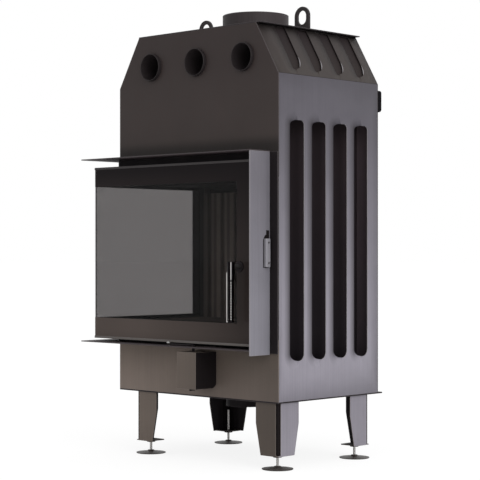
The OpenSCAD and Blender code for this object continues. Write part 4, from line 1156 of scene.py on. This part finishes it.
turned("handle_rosette_turned",
       [(SPINDLE + PLAY, 0), (ROSETTE, 0), (ROSETTE, ROSETTE_TALL),
        (SPINDLE + PLAY, ROSETTE_TALL)],
       Vector((grip_axis.x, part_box("handle_rosette")[0].y, spindle_foot.z)), [stove_black],
       "door", ["handle_rosette"], along=BACK, closed=True, width=0.8)

# %% Feet with threaded rods
DISC, DISC_RIM = 44, 2.25
ROD, ROD_FOOT, ROD_PLAIN = 4, 9.5, 12
THREAD_DEEP, THREAD_PITCH, THREAD_WIRE, THREAD_SUNK = 0.45, 1.25, 0.4, 0.35
for node in [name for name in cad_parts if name.startswith("foot_")]:
    axis = plan_centre(node)
    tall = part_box(node)[1].z / MM
    thread_tall = tall - ROD_PLAIN
    foot = turned(
        node + "_turned",
        [(0, 0), (DISC - 1, 0), (DISC, 1), (DISC, DISC_RIM), (30, 4), (DISC / 4, 6.5), (9, 9),
         (ROD, ROD_FOOT), (ROD - THREAD_DEEP, ROD_FOOT + 0.5), (ROD - THREAD_DEEP, tall - 1),
         (2.8, tall), (0, tall)],
        axis, [foot_steel, rod_zinc], node, [node], sides=64, width=0)
    for face in foot.data.polygons:
        face.material_index = int(face.center.z > ROD_FOOT * MM)
    grow(node + "_thread", coil_tree, {
        "Turns": thread_tall / THREAD_PITCH, "Radius": (ROD - THREAD_SUNK) * MM,
        "Height": thread_tall * MM, "Wire": THREAD_WIRE * MM, "Sides": 3, "Steps": 14,
        "Place": axis + UP * (ROD_FOOT + 1) * MM}, rod_zinc, node)

# %% Screw under the air box
SCREW_ALONG, SCREW_BACK = 0.66, 6
box_low, box_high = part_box("air_box")
screw_z = box_low.z / MM
turned("air_box_screw",
       [(0, screw_z + 0.5), (4, screw_z + 0.5), (4, screw_z - 4), (3, screw_z - 5),
        (0, screw_z - 5)],
       Vector((box_low.x + SCREW_ALONG * (box_high.x - box_low.x),
               box_low.y + SCREW_BACK * MM, 0)),
       [inner_black], "casing", sides=24)

# %% The lever's knob
KNOB, KNOB_TALL, KNOB_EDGE = 6, 6, 1.5
knob_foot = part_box("air_lever_knob")[0].z / MM
turned("air_lever_knob_turned",
       [(0, knob_foot), (4.2, knob_foot), (KNOB, knob_foot + KNOB_EDGE),
        (KNOB, knob_foot + KNOB_TALL - KNOB_EDGE), (4.6, knob_foot + KNOB_TALL),
        (0, knob_foot + KNOB_TALL)],
       plan_centre("air_lever_knob"), [zinc_plate], "air_lever",
       ["air_lever_knob"], sides=32, width=0.4)

# %% Hinge pins
# Each has its radius below the shoulder, the shoulder's height and its radius above it.
PINS = {"hinge_pin_upper": (5, 857.5, 9), "hinge_pin_lower": (9, 343.2, 5)}
for node, (below, shoulder, above) in PINS.items():
    foot, head = (corner.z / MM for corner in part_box(node))
    turned(node + "_turned",
           [(0, foot), (below, foot), (below, shoulder), (above, shoulder), (above, head),
            (0, head)],
           plan_centre(node), [zinc_plate], "casing", [node], sides=32)

# %% [markdown]
# ## The door's panes
#
# Each pane is one slab in which only the middle is clear. The slab is cut along the lines
# where the print ends, and the faces in the clear middle take the clear glass. Both panes are
# clear up to the corner where they meet.

# %% Printed panes
PRINT_LOW, PRINT_HIGH = 404.5, 798.5
PRINT_RIGHT, PRINT_REAR = 218, 360


def pane(name, node, axis, clear_end):
    """A slab from a node's box, clear up to clear_end, in mm along its axis."""
    low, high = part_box(node)
    made = bmesh.new()
    bmesh.ops.create_cube(made, size=1)
    for vert in made.verts:
        vert.co = Vector([low[i] if vert.co[i] < 0 else high[i] for i in range(3)])
    end = at(clear_end, clear_end, 0)
    for spot, normal in ((at(0, 0, PRINT_LOW), UP), (at(0, 0, PRINT_HIGH), UP),
                         (end, (RIGHT, BACK)[axis])):
        everything = made.verts[:] + made.edges[:] + made.faces[:]
        bmesh.ops.bisect_plane(made, geom=everything, plane_co=spot, plane_no=normal)
    mesh = finished_mesh(made, name)
    stand(name, mesh, [black_print, clear_glass], "door", [node])
    for face in mesh.polygons:
        spot = face.center
        face.material_index = int(PRINT_LOW * MM < spot.z < PRINT_HIGH * MM
                                  and spot[axis] < end[axis])


pane("front_pane", "glass_front", 0, PRINT_RIGHT)
pane("side_pane", "glass_side", 1, PRINT_REAR)
edged_plate("door_trim", [trim_steel], "door", 0.3)

# %% [markdown]
# ## The braided gasket
#
# The seal between door and frame is flat glass rope, glued into the door. It shows when the
# door is open. The rope's line is a chain of edges, and the tree sets a short fat strand every
# few millimetres along it, turned left and right by turns, which is what a braid looks like.

# %% Gasket
braid_tree, braid_in = start_tree("braided_rope", Spacing="Float", Strand="Vector",
                                  Turn="Float")
strand = add(braid_tree, "GeometryNodeMeshUVSphere", {"Segments": 8, "Rings": 6, "Radius": 1.0})
way = add(braid_tree, "GeometryNodeInputTangent")
aligned = add(braid_tree, "FunctionNodeAlignRotationToVector", {"Vector": way}, axis="X")
count = add(braid_tree, "GeometryNodeInputIndex")
parity = add(braid_tree, "ShaderNodeMath", {0: count, 1: 2.0}, operation="MODULO")
lean = add(braid_tree, "ShaderNodeMapRange", {"Value": parity, "To Min": -1.0, "To Max": 1.0})
lean = add(braid_tree, "ShaderNodeMath", {0: lean, 1: braid_in["Turn"]}, operation="MULTIPLY")
spun = add(braid_tree, "FunctionNodeAxisAngleToRotation", {"Angle": lean, "Axis": (0, 1, 0)})
both = add(braid_tree, "FunctionNodeRotateRotation", {0: aligned, 1: spun}, rotation_space="LOCAL")
strands = add(braid_tree, "GeometryNodeInstanceOnPoints", {
    "Points": spaced_points(braid_tree, braid_in), "Instance": strand, "Rotation": both,
    "Scale": braid_in["Strand"]})
end_tree(braid_tree, braid_in, strands)

# %% The rope's line and its strands
rope_low, rope_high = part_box("door_gasket")
ROPE, ROPE_SUNK = 8, 0.96
STRAND_SPACING, STRAND_TURN = 4.5, 28
STRAND = Vector((4.2, 3.6, 3.8))
half = ROPE / 2 * MM
front, left = rope_low.y + half * ROPE_SUNK, rope_low.x + half * ROPE_SUNK
right, rear = rope_high.x - half, rope_high.y - half
foot, head = rope_low.z + half, rope_high.z - half
rope_points = [(right, front, foot), (left, front, foot), (left, rear, foot),
               (left, rear, head), (left, front, head), (right, front, head)]
rope_mesh = bpy.data.meshes.new("rope_line")
rope_mesh.from_pydata(rope_points, [(i, (i + 1) % 6) for i in range(6)], [])
grow("braided_gasket", braid_tree, {
    "Spacing": STRAND_SPACING * MM, "Strand": STRAND * MM, "Turn": math.radians(STRAND_TURN)},
    glass_rope, "door", ["door_gasket"], start=rope_mesh)

# %% [markdown]
# ## Weld beads
#
# The legs and the lifting eyes are welded on. A weld is a row of overlapping ripples, so the
# tree sets a small ball every few millimetres along each seam, each a little different from
# the next, from a fixed seed.

# %% Welds
weld_tree, weld_in = start_tree("weld_bead", Spacing="Float", Bead="Vector", Seed="Int")
ball = add(weld_tree, "GeometryNodeMeshUVSphere", {"Segments": 8, "Rings": 5, "Radius": 1.0})
change = add(weld_tree, "FunctionNodeRandomValue", {
    "Seed": weld_in["Seed"], 2: 0.85, 3: 1.12}, data_type="FLOAT")
size = add(weld_tree, "ShaderNodeVectorMath", {
    0: weld_in["Bead"], "Scale": change.outputs[1]}, operation="SCALE")
beads = add(weld_tree, "GeometryNodeInstanceOnPoints", {
    "Points": spaced_points(weld_tree, weld_in), "Instance": ball, "Scale": size})
end_tree(weld_tree, weld_in, beads)

# %% The seams
BEAD, BEAD_SPACING = 1.6, 2.2
WELD_FROM, WELD_TO = 14, 80
seams = []
for word in ("left", "right"):
    low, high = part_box(f"lifting_eye_{word}")
    seams += [[(x, y, low.z) for x in (low.x, high.x)] for y in (low.y, high.y)]
for node in [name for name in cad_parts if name.startswith("leg_")]:
    corner, inward = leg_plan(node)
    corner.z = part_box(node)[1].z
    for along, aside in ((RIGHT, BACK), (BACK, RIGHT)):
        seams.append([corner + inward * (along * reach + aside * LEG_WALL) * MM
                      for reach in (WELD_FROM, WELD_TO)])
seam_mesh = bpy.data.meshes.new("seam_lines")
seam_mesh.from_pydata([point for seam in seams for point in seam],
                      [(2 * i, 2 * i + 1) for i in range(len(seams))], [])
grow("weld_beads", weld_tree, {
    "Spacing": BEAD_SPACING * MM, "Bead": (BEAD * MM,) * 3, "Seed": 4},
    stove_black, "casing", start=seam_mesh)

# %% [markdown]
# ## The catch on the cheek
#
# The catch's cover is held by two small dark screws. The hooked slot above it and the cover's
# shadow are drawn as one thin dark plate on the cheek, which is painted shade.

# %% The cover's screws
keeper_low, keeper_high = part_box("latch_keeper")
keeper_middle = (keeper_low + keeper_high) / 2
SCREW_GAP = 0.72 * (keeper_high.z - keeper_low.z)
SCREW_SUNK = 1.5
screw_mesh = turned_mesh("keeper_screw", [(0.9, 0.3), (3.4, 0.3), (3.4, 1.1), (2.6, 1.8),
                                          (0.9, 1.8)], Vector(), RIGHT, 24)
grow("keeper_screws", row_tree, {
    "Count": 2, "First": (keeper_high.x - SCREW_SUNK * MM, keeper_middle.y,
                          keeper_middle.z - SCREW_GAP / 2),
    "Step": (0, 0, SCREW_GAP)},
    inner_black, "casing", start=screw_mesh, sharp=35)

# %% [markdown]
# The plate is an outline of (forward, height) points in mm, seen from the right. It runs down
# in front of the cover and under it as the cover's painted shadow, and stands a hair proud of
# the cheek.

# %% The hooked slot and the cover's painted shadow
front, rear = (FRONT - keeper_low.y) / MM, (FRONT - keeper_high.y) / MM
foot, head = keeper_low.z / MM, keeper_high.z / MM
HOOK = [(rear, foot - 2), (front + 3, foot - 2), (front + 3, head - 3), (front - 1, head + 5),
        (front - 4, head + 9), (front - 9, head + 11), (front - 9, head + 23),
        (rear - 2, head + 23), (rear - 2, head + 3), (rear, head)]
# A dark plate of painted shade: the hooked slot and the cover's shadow.
hook = bmesh.new()
hook.faces.new([hook.verts.new(Vector((keeper_low.x + 0.4 * MM, FRONT - ahead * MM, z * MM)))
                for ahead, z in HOOK])
thicken(stand("latch_slot_and_shadow", finished_mesh(hook, "latch_slot_and_shadow"), [inner_black], "casing"), 0.8)

# %% [markdown]
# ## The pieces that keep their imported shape
#
# The inside of the firebox and the small hidden parts have the right shape already. They only
# get their finish.

# %% Finishes for the rest
KEPT = {
    inner_black: ["firebox_floor", "firebox_right_wall", "firebox_rear_wall", "firebox_hood",
                  "firebox_roof", "firebox_cradle", "air_duct"],
    fluted_board: ["lining_back"],
    vermiculite: ["lining_right", "lining_floor"],
    zinc_plate: ["latch_cam", "air_valve"],
}
for finish, nodes in KEPT.items():
    for node in nodes:
        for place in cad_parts[node].material_slots:
            place.material = finish
    print(finish.name, "on", len(nodes), "nodes")
